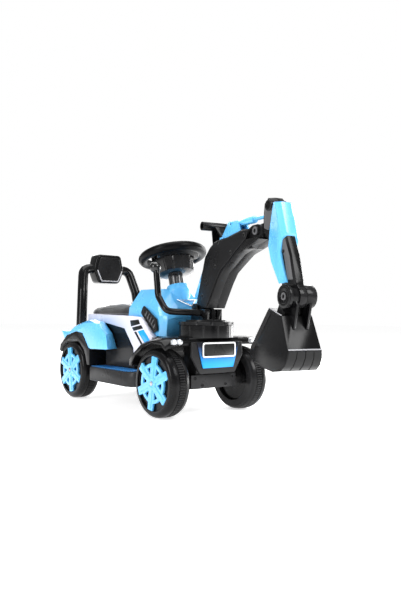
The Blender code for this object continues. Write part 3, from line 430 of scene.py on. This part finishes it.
def sweep(path, radius, sides=20):
    """A round bar along a smooth path of points."""
    points = [Vector(p) for p in path]
    sections = []
    side = None
    for i, point in enumerate(points):
        before = points[max(0, i - 1)]
        after = points[min(len(points) - 1, i + 1)]
        along = (after - before).normalized()
        side = side or along.orthogonal().normalized()
        side = (side - side.dot(along) * along).normalized()
        other = along.cross(side)
        sections.append([
            point + radius * (cos(2 * pi * k / sides) * side + sin(2 * pi * k / sides) * other)
            for k in range(sides)
        ])
    return rings(sections)


def smooth_path(points, radius, steps=8, per_leg=4):
    """A path with rounded corners and evenly split straight legs."""
    made = [Vector(points[0])]
    for before, corner, after in zip(points, points[1:], points[2:]):
        before, corner, after = Vector(before), Vector(corner), Vector(after)
        a, b = (before - corner).normalized(), (after - corner).normalized()
        reach = min(
            radius / tan(a.angle(b) / 2), 0.48 * (before - corner).length, 0.48 * (after - corner).length
        )
        start, end = corner + a * reach, corner + b * reach
        last = made[-1]
        made += [last.lerp(start, k / per_leg) for k in range(1, per_leg)]
        for k in range(steps + 1):
            t = k / steps
            made.append((1 - t) ** 2 * start + 2 * t * (1 - t) * corner + t ** 2 * end)
    last = made[-1]
    made += [last.lerp(Vector(points[-1]), k / per_leg) for k in range(1, per_leg + 1)]
    return made


# ---- Wheels ----
def tyre_profile():
    """(radius, distance from the inner face), outer face first."""
    outer = [(0.0066, 0.0536), (0.0695, 0.0536), (0.0702, 0.0545), (0.0708, 0.0590), (0.0718, 0.0600)]
    shoulder = [
        (0.0764, 0.0600), (0.0800, 0.0592), (0.0838, 0.0570), (0.0868, 0.0535), (0.0888, 0.0490),
        (0.0896, 0.0440)
    ]
    tread = [
        (0.0896, 0.0385), (0.0880, 0.0376), (0.0880, 0.0362), (0.0900, 0.0355), (0.0900, 0.0190),
        (0.0880, 0.0182), (0.0880, 0.0168)
    ]
    inner = [
        (0.0893, 0.0158), (0.0880, 0.0100), (0.0852, 0.0040), (0.0814, 0.0004), (0.0640, 0.0),
        (0.0600, 0.0100), (0.0066, 0.0120)
    ]
    return outer + shoulder + tread + inner


def tyres_and_trims():
    profile = tyre_profile()
    band = {k for k, (r, h) in enumerate(profile) if r > 0.0899}
    ribs = 84

    def ribbed(k, r, i):
        return r - (0.0016 if k in band and i % 4 in (0, 1) else 0.0)

    star, holes = trim_outline()
    for end, y in (("front", 0.0), ("rear", WHEELBASE)):
        for side, label in SIDES:
            body = {"front": "wheel_f", "rear": "wheel_r"}[end] + label[0]
            phase = FRONT_PHASE if end == "front" else REAR_PHASE
            turn = Matrix.Rotation(side * pi / 2, 4, "Y") @ Matrix.Rotation(side * phase, 4, "Z")
            place = VEHICLE @ Matrix.Translation((0, y, WHEEL_R)) @ turn
            out = Matrix.Translation((0, 0, WHEEL_X))
            bm = turned(profile, ribs * 4, ribbed)
            piece(f"tyre_{end}_{label}_skin", bm, place @ out, body, [f"tyre_{end}_{label}"], TYRE, angle=28)
            seat_at = Matrix.Translation((0, 0, WHEEL_X + 0.0543))
            name = f"trim_{end}_{label}_skin"
            plate(
                name, [star, *holes], 0.0066, place @ seat_at, body, [f"trim_{end}_{label}"], SKY, rim=0.0009
            )
            raised = Matrix.Translation((0, 0, WHEEL_X + 0.0605))
            plate(f"{name}_ribs", [rib_outline()], 0.0017, place @ raised, body, [], SKY, rim=0.0006)
            boss = [
                (0.0005, 0.0), (0.0125, 0.0), (0.0125, 0.0015), (0.0118, 0.0024), (0.0085, 0.0024),
                (0.0075, 0.0016), (0.0005, 0.0016)
            ]
            piece(f"{name}_boss", turned(boss, 48), place @ raised, body, [], SKY, angle=40)


def trim_outline():
    """Six broad square-ended spokes on a ring, with a dark triangle between each pair."""
    half, tip, ring_out, ring_in, root = 0.0112, 0.0696, 0.0520, 0.0425, 0.0262
    spread_out, spread_in = asin(half / ring_out), asin(half / ring_in)
    star, holes = [], []
    for k in range(6):
        a = k * pi / 3
        along, across = Vector((cos(a), sin(a))), Vector((-sin(a), cos(a)))
        star.append(tuple(along * ring_out * cos(spread_out) - across * half))
        star.append(tuple(along * (tip - 0.002) - across * half))
        star.append(tuple(along * tip - across * (half - 0.002)))
        star.append(tuple(along * tip + across * (half - 0.002)))
        star.append(tuple(along * (tip - 0.002) + across * half))
        start, end = a + spread_out, a + pi / 3 - spread_out
        star += [
            (ring_out * cos(t), ring_out * sin(t))
            for t in (start + (end - start) * i / 8 for i in range(9))
        ]
        start, end = a + spread_in + 0.06, a + pi / 3 - spread_in - 0.06
        hole = [
            (ring_in * cos(t), ring_in * sin(t))
            for t in (start + (end - start) * i / 6 for i in range(7))
        ]
        middle = a + pi / 6
        hole += [(root * cos(t), root * sin(t)) for t in (middle + 0.06, middle - 0.06)]
        holes.append(hole)
    return star, holes


def rib_outline():
    """A narrower raised star on the spokes."""
    half, tip, root = 0.0046, 0.0640, 0.0170
    spread = asin(half / root)
    made = []
    for k in range(6):
        a = k * pi / 3
        along, across = Vector((cos(a), sin(a))), Vector((-sin(a), cos(a)))
        made.append(tuple(along * root * cos(spread) - across * half))
        made += [tuple(along * tip - across * half), tuple(along * tip + across * half)]
        start, end = a + spread, a + pi / 3 - spread
        made += [(root * cos(t), root * sin(t)) for t in (start + (end - start) * i / 4 for i in range(5))]
    return made


# ---- Everything carried over from the CAD with a finish of its own ----
def carried_over():
    dress(["lower_body", "beam_bracket", "front_fascia"], SATIN, 0.0015)
    dress(["axle_beam"], SATIN, 0.0003)
    dress(["rear_arch_left", "rear_arch_right"], BLACK, 0.0022, 3)
    dress(["step_left", "step_right"], SATIN, 0.0040, 3)
    dress(["step_mat_left", "step_mat_right"], GRID, 0.0006)
    dress(["upper_shell"], WHITE, 0.0015)
    dress(["rear_bumper", "boom_spine", "rod_bracket"], SKY, 0.0015, 3)
    dress(["push_rod"], SKY, 0.0006)
    dress(["rear_fender_left", "rear_fender_right"], SKY, 0.0050, 4, 20)
    dress(["stick_cover"], SKY, 0.0030, 3, 25)
    dress(["hood"], SKY, 0.0030, 3, 22)
    dress(["vent_left", "vent_right", "front_cover", "swivel", "handle_lever"], BLACK, 0.0012)
    dress(["boom_shell_left", "boom_shell_right", "stick_pin"], SATIN, 0.0022, 3)
    dress(["stick_core", "bucket"], BLACK, 0.0016, 3)
    dress(["horn_button"], BRIGHT, 0.0008)
    dress(["front_panel"], PANEL, 0.0006)
    dress(["blank_plate"], PRINT, 0.0004)
    dress(["hood_trim"], CHROME, 0.0005)
    dress(["headlamp_left", "headlamp_right"], LENS, 0.0004)
    dress(
        ["knuckle_left", "knuckle_right", "tie_rod", "rear_axle", "wrist_pin", "steering_shaft"], STEEL,
        0.0004
    )
    dress(["battery", "drive_unit"], SATIN, 0.0012)


# ---- Saddle, hoop and headrest ----
def seat_and_hoop():
    shape = ((0.2500, 0.056, 0.014), (0.2650, 0.068, 0.026), (0.3000, 0.078, 0.034), (0.3500, 0.084, 0.037),
             (0.4200, 0.088, 0.038), (0.4650, 0.088, 0.036), (0.4850, 0.080, 0.029), (0.4950, 0.068, 0.015))
    rows = []
    for i in range(37):
        y = shape[0][0] + (shape[-1][0] - shape[0][0]) * i / 36
        low = max(k for k in range(len(shape) - 1) if shape[k][0] <= y + 1e-9)
        t = (y - shape[low][0]) / (shape[low + 1][0] - shape[low][0])
        half, crown = (shape[low][j] + (shape[low + 1][j] - shape[low][j]) * t for j in (1, 2))
        ring = [(-half + 0.004, y, SADDLE_FLOOR), (half - 0.004, y, SADDLE_FLOOR)]
        for k in range(25):
            a = pi * k / 24
            lift = sin(a) ** 0.85 if 0 < k < 24 else 0
            ring.append((half * cos(a), y, SADDLE_FLOOR + 0.005 + 1.10 * crown * lift))
        rows.append(ring)
    piece("saddle", rings(rows), VEHICLE, "vehicle", ["seat"], SADDLE, bevel=0.0030, segments=4, angle=50)
    leg = [(0.1160, 0.4950, 0.2235), (0.1040, 0.5130, 0.3450), (0.0880, 0.5400, 0.4230)]
    path = [(-x, y, z) for x, y, z in leg] + leg[::-1]
    piece(
        "hoop", sweep(smooth_path(path, 0.032), 0.0166, 32), VEHICLE, "vehicle", ["roll_hoop"], SHEEN,
        angle=50
    )
    pad = [
        (-0.046, 0.4730), (-0.0585, 0.4200), (-0.040, 0.3740), (0.040, 0.3740), (0.0585, 0.4200),
        (0.046, 0.4730)
    ]
    at = VEHICLE @ Matrix.Translation((0, 0.5680, 0)) @ FACING
    plate(
        "headrest_pad", [rounded(pad, 0.012)], 0.0500, at, "vehicle", ["headrest"], BLACK, rim=0.0080,
        rim_steps=5
    )
    front = VEHICLE @ Matrix.Translation((0, 0.5190, 0)) @ FACING
    face = rounded(scaled(pad, 0.80), 0.009)
    plate("headrest_face", [face], 0.0040, front, "vehicle", [], SATIN, rim=0.0018, rim_steps=3)
    # A light grey bead along the lower edge of the headrest face: painted highlight.
    lip = [(-0.0475, 0.4180), (-0.0315, 0.3815), (0.0315, 0.3815), (0.0475, 0.4180)]
    bead = [(x, 0.5158, z) for x, z in lip]
    piece("headrest_bead", sweep(smooth_path(bead, 0.006), 0.0021, 12), VEHICLE, "vehicle", [], PAINTED_HIGHLIGHT)


# ---- Steering wheel ----
def steering_wheel():
    rise = WHEEL_RISE
    tube = arc((RIM_R, rise), RIM_TUBE, 0, 350, 35)
    piece("rim_skin", turned(tube, 144), COLUMN, "steering_assembly", ["steering_rim"], GRIP, angle=60)
    hub = [
        (0.0066, rise - 0.0620), (0.0360, rise - 0.0620), (0.0440, rise - 0.0600), (0.0550, rise - 0.0540),
        (0.0612, rise - 0.0270), (0.0638, rise - 0.0060), (0.0638, rise + 0.0080), (0.0610, rise + 0.0110),
        (0.0300, rise + 0.0160), (0.0222, rise + 0.0160), (0.0222, rise - 0.0400), (0.0066, rise - 0.0400),
    ]
    facets, per_facet = 14, 12

    def flat(k, radius, i):
        if not 2 <= k <= 6:
            return radius
        a = 2 * pi * i / (facets * per_facet)
        within = a % (2 * pi / facets) - pi / facets
        flattened = radius * cos(pi / facets) / cos(within)
        return flattened - (0.0016 if abs(within) > 0.86 * pi / facets else 0.0)

    piece(
        "bowl_skin", turned(hub, facets * per_facet, flat), COLUMN, "steering_assembly", ["steering_hub"],
        GLOSS, angle=24
    )
    for k in range(3):
        turn = COLUMN @ Matrix.Rotation(pi / 2 + 2 * pi * k / 3, 4, "Z")
        sections = []
        for r, half, low, high in (
            (0.0600, 0.0235, -0.0150, 0.0080), (0.0670, 0.0195, -0.0110, 0.0070),
            (0.0795, 0.0230, -0.0095, 0.0085)
        ):
            sections.append([
                (r, -half, rise + low), (r, half, rise + low), (r, half, rise + high),
                (r, -half, rise + high)
            ])
        piece(f"spoke_{k}", rings(sections), turn, "steering_assembly", [], GLOSS, bevel=0.0025, segments=3)
    for label, first in (("back", 20), ("front", 200)):
        sections = []
        for k in range(36):
            a = radians(first + 4 * k)
            web = ((0.0610, -0.0150), (0.0610, -0.0115), (0.0790, -0.0055), (0.0790, -0.0090))
            sections.append([(r * cos(a), r * sin(a), rise + h) for r, h in web])
        piece(
            f"wheel_web_{label}", rings(sections), COLUMN, "steering_assembly", [], GRIP, bevel=0.0006,
            segments=2
        )
    flutes, around = 9, 144

    def fluted(k, radius, i):
        groove = 0.0030 * max(0.0, cos(2 * pi * flutes * i / around)) ** 0.5
        return radius - (groove if radius > 0.02 else 0.0)

    column = [(0.0066, -0.0150), (0.0224, -0.0150), (0.0224, rise - 0.0626), (0.0066, rise - 0.0626)]
    piece(
        "column_skin", turned(column, around, fluted), COLUMN, "steering_assembly", ["steering_column"],
        GLOSS, angle=30
    )


# ---- Body details ----
def body_details():
    vent = [(0.1540, 0.2930), (0.1680, 0.2720), (0.1010, 0.2165), (0.0840, 0.2240), (0.0900, 0.2550)]
    decals = (
        ("upper_patch", [(0.2119, 0.2497), (0.1657, 0.2530), (0.1575, 0.2403), (0.2060, 0.2322)], PRINT),
        ("lower_patch", [(0.2005, 0.2294), (0.1522, 0.2375), (0.1415, 0.2278), (0.1920, 0.2195)], PRINT),
        ("blue_patch", [(0.1704, 0.2186), (0.1389, 0.2250), (0.1051, 0.1953), (0.1304, 0.1845)], BRIGHT),
        ("thin_stripe", [(0.1893, 0.2166), (0.1785, 0.2184), (0.1407, 0.1812), (0.1511, 0.1807)], PRINT),
    )
    for side, label in SIDES:
        for name, outline, finish in decals:
            plate(
                f"{name}_{label}", [rounded(outline, 0.0012, 2)], SKIN, on_side(side, SIDE_PANEL_X),
                "vehicle", [], finish, rim=0.0001
            )
        plate(
            f"vent_frame_{label}", [rounded(vent, 0.006), rounded(scaled(vent, 0.76), 0.005)], 0.0022,
            on_side(side, VENT_X), "vehicle", [], SATIN, rim=0.0008
        )
        mesh_at = on_side(side, 0.0936)
        for k in range(5):
            low = (0.1010 + 0.0105 * k, 0.2285 + 0.0085 * k)
            bar = [
                low, (low[0] + 0.0035, low[1] + 0.0028), (low[0] - 0.0080, low[1] + 0.0170),
                (low[0] - 0.0100, low[1] + 0.0150)
            ]
            # Grey bars: painted highlight on the vent bars.
            plate(f"vent_bar_{k}_{label}", [bar], 0.0010, mesh_at, "vehicle", [], PAINTED_LIGHT_GREY, rim=0.0003)
    outer = [(-0.0570, 0.1556), (0.0570, 0.1556), (0.0570, 0.1954), (-0.0570, 0.1954)]
    inner = [(-0.0530, 0.1596), (0.0530, 0.1596), (0.0530, 0.1914), (-0.0530, 0.1914)]
    at = VEHICLE @ Matrix.Translation((0, -0.0716, 0)) @ FACING
    plate(
        "plate_border", [rounded(outer, 0.0075, 6), rounded(inner, 0.0050, 6)], 0.0010, at, "vehicle", [],
        BORDER, rim=0.0003
    )
    drum = [
        (0.0106, 0.2410), (0.0106, 0.2450), (0.0698, 0.2450), (0.0706, 0.2490), (0.0742, 0.2490),
        (0.0750, 0.2480), (0.0750, 0.2405), (0.0742, 0.2396), (0.0736, 0.2390), (0.0736, 0.2074),
        (0.0690, 0.2074), (0.0690, 0.2410)
    ]

    def notched(k, radius, i):
        if k in (3, 4, 5) and i % 24 in (0, 1, 2):
            return radius - 0.0022
        if k in (8, 9) and i % 24 in (12, 13):
            return radius + 0.0007
        return radius

    slewed = VEHICLE @ Matrix.Translation((0, SLEW_Y, 0))
    piece("drum_skin", turned(drum, 288, notched), slewed, "vehicle", ["turret_drum"], BLACK, angle=30)
    for side in (1, -1):
        for x, z in ((0.064, 0.1005), (0.040, 0.0815)):
            screw = turned(
                [
                    (0.0010, 0.0), (0.0042, 0.0), (0.0042, 0.0012), (0.0030, 0.0020), (0.0022, 0.0006),
                    (0.0010, 0.0006)
                ],
                24
            )
            at = VEHICLE @ Matrix.Translation((side * x, -0.0500, z)) @ FACING
            piece(f"beam_screw_{side}_{x:.3f}", screw, at, "vehicle", [], BLACK, angle=30)


# ---- Lever beside the arm ----
def lever():
    path = [
        (-0.0270, -0.0131, 0.2730), (-0.1178, 0.0012, 0.2760), (-0.1258, 0.0394, 0.3170),
        (-0.1277, 0.0482, 0.3800), (-0.1283, 0.0510, 0.3880)
    ]
    piece(
        "lever_skin", sweep(smooth_path(path, 0.024), 0.0088, 24), ARM, "slew", ["lever_rod"], SHEEN,
        angle=50
    )
    ball = arc((0, 0), 0.0153, -86, 86, 16)
    knob = [(0.0012, ball[0][1]), *[(r + 0.0004, h) for r, h in ball], (0.0012, ball[-1][1])]
    at = ARM @ Matrix.Translation((-0.1290, 0.0540, 0.3960))
    piece("knob_skin", turned(knob, 48), at, "slew", ["lever_knob"], GLOSS, angle=60)


# ---- Arm details ----
def screw_hole(name, s, z, side, x, body, radius=0.0030):
    """A countersunk hole seen from outside: a low collar round a dark disc of painted shade where the hole is.
    """
    ring = [
        (radius * 0.45, 0.0), (radius * 1.25, 0.0), (radius * 1.15, 0.0005), (radius * 0.95, 0.0005),
        (radius * 0.55, -0.0004)
    ]
    piece(name, turned(ring, 28), on_arm(side, x) @ Matrix.Translation((s, z, 0)), body, [], GLOSS, angle=30)
    # The dark disc is painted shade where the hole is.
    shade_disc = [(0.0002, 0.0), (radius * 0.80, 0.0), (radius * 0.80, 0.0003), (0.0002, 0.0003)]
    piece(
        f"{name}_well", turned(shade_disc, 24), on_arm(side, x) @ Matrix.Translation((s, z, 0)), body, [], PAINTED_SHADE,
        angle=30
    )


def ring_boss(name, s, z, side, x, body, radius, height, finish=None):
    """A round moulded boss with a sunk middle; unless a finish is given the ring is grey as painted highlight,
    and a dark disc of painted shade fills the middle.
    """
    ring = [
        (radius * 0.42, 0.0), (radius, 0.0), (radius, height * 0.7), (radius * 0.92, height),
        (radius * 0.66, height), (radius * 0.58, height * 0.4), (radius * 0.42, height * 0.3)
    ]
    at = on_arm(side, x) @ Matrix.Translation((s, z, 0))
    # Unless a finish is given, the ring is grey: painted highlight on its rim.
    piece(name, turned(ring, 48), at, body, [], finish or PAINTED_LIGHT_GREY, angle=30)
    # The dark disc in the sunk middle is painted shade.
    shade_disc = [(0.0002, 0.0), (radius * 0.50, 0.0), (radius * 0.50, height * 0.45), (0.0002, height * 0.45)]
    piece(f"{name}_well", turned(shade_disc, 32), at, body, [], PAINTED_SHADE, angle=30)


def boom_details():
    skin = [
        (-0.0050, 0.2960), (0.0540, 0.2890), (0.0760, 0.3180), (0.1020, 0.3510), (0.1270, 0.3780),
        (0.1530, 0.3915), (0.2023, 0.4205), (0.2528, 0.4471), (0.2600, 0.4650), (0.2344, 0.4676),
        (0.1630, 0.4568), (0.0990, 0.4540), (0.0710, 0.4410), (0.0425, 0.4185)
    ]
    for side, label in SIDES:
        plate(
            f"boom_panel_{label}", [rounded(skin, 0.004, 3)], 0.0030, on_arm(side, ARM_HALF - 0.0004),
            "boom", [], SATIN, rim=0.0014, rim_steps=4
        )
        nose = [(0.2130, 0.4190), (0.2610, 0.4300), (0.2990, 0.4410), (0.2900, 0.4440), (0.2560, 0.4450)]
        plate(
            f"boom_nose_{label}", [rounded(nose, 0.002, 2)], 0.0009, on_arm(side, ARM_HALF - 0.0002), "boom",
            [], BLACK, rim=0.0004
        )
        for k, (s, z) in enumerate((
            (0.1152, 0.4520), (0.1809, 0.4202), (0.1019, 0.3913), (0.0305, 0.3179), (0.2440, 0.4560)
        )):
            screw_hole(f"boom_hole_{label}_{k}", s, z, side, ARM_HALF + 0.0025, "boom", 0.0042)
        # Grey ring round the stick pin: painted highlight.
        ring_boss(f"stick_pin_boss_{label}", *STICK_PIVOT, side, 0.0232, "boom", 0.0092, 0.0024)
        ring_boss(f"handle_pin_boss_{label}", *HANDLE_PIVOT, side, 0.0150, "handle", 0.0060, 0.0020, SKY)
        ring_boss(f"rod_pin_boss_{label}", *ROD_REAR, side, 0.0136, "handle", 0.0052, 0.0018, SKY)


def stick_details():
    head = [
        (0.3170, 0.4620), (0.3172, 0.4900), (0.3205, 0.5150), (0.3335, 0.5230), (0.3420, 0.5230),
        (0.3500, 0.5100), (0.3420, 0.4700), (0.3340, 0.4560)
    ]
    edge = ((0.4330, 0.3869), (0.4200, 0.3925), (0.3925, 0.4044), (0.3650, 0.4111), (0.3420, 0.4168))
    for side, label in SIDES:
        # Grey patch on each side of the stick's head, lighter where that side faces the light: painted light.
        plate(
            f"stick_head_panel_{label}", [rounded(head, 0.003, 3)], 0.0012,
            on_arm(side, STICK_HALF - 0.0004), "stick", [], PAINTED_LIGHT_GREY, rim=0.0005
        )
        # Grey strip along the stick's front edge: painted light on the lit side and painted highlight on its
        # edge.
        strip = [
            (0.0177, -0.0090), (0.0177, 0.0002), (0.0136, 0.0048), (0.0124, 0.0040), (0.0166, -0.0010),
            (0.0166, -0.0090)
        ]
        sections = [[(side * x, -(s + ds), z) for x, ds in strip] for z, s in edge]
        piece(f"stick_shin_lit_strip_{label}", rings(sections), ARM, "stick", [], PAINTED_LIGHT_GREY, bevel=0.0003, segments=2)
        ring_boss(
            f"stick_top_boss_{label}", 0.3383, 0.5110, side, STICK_HALF + 0.0016, "stick", 0.0128, 0.0034,
            BLACK
        )
        screw_hole(f"stick_hole_{label}", 0.3935, 0.4035, side, STICK_HALF + 0.0006, "stick", 0.0032)
        ring_boss(f"wrist_flange_{label}", *WRIST, side, 0.0333, "bucket_body", 0.0228, 0.0014, BLACK)
        # Grey hub ring: painted highlight.
        ring_boss(f"wrist_hub_{label}", *WRIST, side, 0.0338, "bucket_body", 0.0080, 0.0022)
        for k in range(3):
            slot = arc(WRIST, 0.0162, 30 + 120 * k - 34, 30 + 120 * k + 34, 8)
            slot += arc(WRIST, 0.0134, 30 + 120 * k + 34, 30 + 120 * k - 34, 8)
            plate(
                f"flange_slot_{label}_{k}", [slot], 0.0010, on_arm(side, 0.0338), "bucket_body", [], SATIN,
                rim=0.0003
            )


def drawn_in(z):
    """How much narrower the bucket is at a height."""
    low = min(1.0, max(0.0, (z - 0.1550) / 0.0415))
    high = min(1.0, max(0.0, (z - 0.1965) / 0.0865))
    return 1 - 0.115 * low - 0.09 * high


def bucket_details():
    path = [
        (0.4475, 0.1950), (0.4455, 0.1810), (0.4370, 0.1650), (0.4250, 0.1540), (0.3950, 0.1500),
        (0.3620, 0.1550)
    ]
    line = [Vector((0, -s, z)) for s, z in path]
    for k, (low, high) in enumerate((
        (-0.0462, -0.0243), (-0.0229, -0.0012), (0.0012, 0.0229), (0.0243, 0.0462)
    )):
        sections = []
        for i, point in enumerate(line):
            before, after = line[max(0, i - 1)], line[min(len(line) - 1, i + 1)]
            along = (after - before).normalized()
            out = along.cross(Vector((1, 0, 0)))
            out = out if out.z < 0 or out.y < 0 else -out
            taper = drawn_in(point.z)
            here = [point - 0.0008 * out, point + 0.0016 * out]
            sections.append([
                (low * taper, *here[0][1:]), (high * taper, *here[0][1:]), (high * taper, *here[1][1:]),
                (low * taper, *here[1][1:])
            ])
        piece(
            f"bucket_pad_{k}", rings(sections), ARM, "bucket_body", [], BLACK, bevel=0.0009, segments=3,
            angle=50
        )
    # A light grey bead along the bucket's ridge: painted highlight.
    ridge = [(-0.0413, -0.4468, 0.1972), (0.0413, -0.4468, 0.1972)]
    piece(
        "bucket_ridge", sweep(smooth_path([ridge[0], (0, -0.4469, 0.1973), ridge[1]], 0.001), 0.0016, 14),
        ARM, "bucket_body", [], PAINTED_HIGHLIGHT
    )
    for side, label in SIDES:
        # Light grey beads along the bucket's top edges: painted highlight.
        top = [
            (side * BUCKET_HALF * drawn_in(z), -s, z)
            for s, z in ((0.3725, 0.2825), (0.3950, 0.2747), (0.4165, 0.2672))
        ]
        piece(
            f"bucket_top_bead_{label}", sweep(smooth_path(top, 0.002), 0.0012, 12), ARM, "bucket_body", [],
            PAINTED_HIGHLIGHT
        )
        sections = []
        for s, z in ((0.3672, 0.2790), (0.3055, 0.1990)):
            corners = [(s, z), (s + 0.0099, z - 0.0077)]
            inner = [(side * (BUCKET_HALF * drawn_in(v) - 0.0012), -u, v) for u, v in corners]
            outer = [(side * (BUCKET_HALF * drawn_in(v) + 0.0014), -u, v) for u, v in corners]
            sections.append([inner[0], outer[0], outer[1], inner[1]])
        piece(
            f"bucket_band_{label}", rings(sections), ARM, "bucket_body", [], BLACK, bevel=0.0005, segments=2
        )


# ---- Studio ----
def studio():
    reach = 14.0
    sheet = bpy.data.meshes.new("floor")
    corners = [(-reach, -reach, 0), (reach, -reach, 0), (reach, reach, 0), (-reach, reach, 0)]
    sheet.from_pydata(corners, [], [(0, 1, 2, 3)])
    stage = linked("floor", sheet)
    floor = bpy.data.materials.new("pale_floor")
    floor.use_nodes = True
    settings = floor.node_tree.nodes["Principled BSDF"].inputs
    settings["Base Color"].default_value = (0.93, 0.93, 0.93, 1)
    settings["Emission Color"].default_value = (1.0, 1.0, 1.0, 1)
    settings["Emission Strength"].default_value = 0.66
    settings["Roughness"].default_value = 0.7
    stage.data.materials.append(floor)
    world = bpy.data.worlds.new("studio")
    world.use_nodes = True
    tree = world.node_tree
    seen, lit = tree.nodes["Background"], tree.nodes.new("ShaderNodeBackground")
    seen.inputs["Color"].default_value = lit.inputs["Color"].default_value = (1.0, 1.0, 1.0, 1)
    lit.inputs["Strength"].default_value = 0.34
    mix = tree.nodes.new("ShaderNodeMixShader")
    tree.links.new(tree.nodes.new("ShaderNodeLightPath").outputs["Is Camera Ray"], mix.inputs["Fac"])
    tree.links.new(lit.outputs[0], mix.inputs[1])
    tree.links.new(seen.outputs[0], mix.inputs[2])
    tree.links.new(mix.outputs[0], tree.nodes["World Output"].inputs["Surface"])
    bpy.context.scene.world = world
    for name, place, aim, size, power in (
        ("key", (0.6, -2.6, 2.2), (0, -0.1, 0.25), (1.4, 1.4), 60),
        ("right", (2.6, 0.5, 0.9), (0, -0.1, 0.30), (0.7, 1.8), 42),
        ("left", (-2.6, -0.3, 1.3), (0, 0, 0.2), (0.8, 1.6), 34),
        ("top", (0.0, 0.2, 3.0), (0, 0, 0.2), (2.4, 2.4), 62),
        ("low", (1.9, -0.60, 0.12), (0.03, 0.06, 0.40), (0.7, 0.5), 14),
        ("back", (1.7, 2.4, 1.5), (0, 0.2, 0.3), (2.8, 1.8), 62),
    ):
        data = bpy.data.lights.new(name, "AREA")
        data.shape = "RECTANGLE"
        data.size, data.size_y = size
        data.energy = power * LIGHT_GAIN
        lamp = linked(name, data)
        lamp.location = place
        lamp.visible_camera = False
        lamp.rotation_euler = (Vector(aim) - Vector(place)).to_track_quat("-Z", "Y").to_euler()
    bpy.context.scene.view_settings.view_transform = "Standard"


def camera():
    """A low viewpoint in front of the near front wheel, looking a little up."""
    yaw, pitch, roll = 0.6693, 0.026, 0.0076
    look = Vector((sin(yaw) * cos(pitch), cos(yaw) * cos(pitch), sin(pitch)))
    level = Vector((cos(yaw), -sin(yaw), 0))
    up = level.cross(look)
    right = cos(roll) * level + sin(roll) * up
    up = -sin(roll) * level + cos(roll) * up
    data = bpy.data.cameras.new("camera")
    data.lens = 35.03
    data.sensor_width = 36
    obj = linked("camera", data)
    basis = Matrix((right, up, -look)).transposed().to_4x4()
    eye = (-1.0044, -1.2587 + AXLE_Y, 0.2652)
    obj.matrix_world = Matrix.Translation(eye) @ basis
    bpy.context.scene.camera = obj


carried_over()
tyres_and_trims()
seat_and_hoop()
steering_wheel()
body_details()
lever()
boom_details()
stick_details()
bucket_details()
studio()
camera()
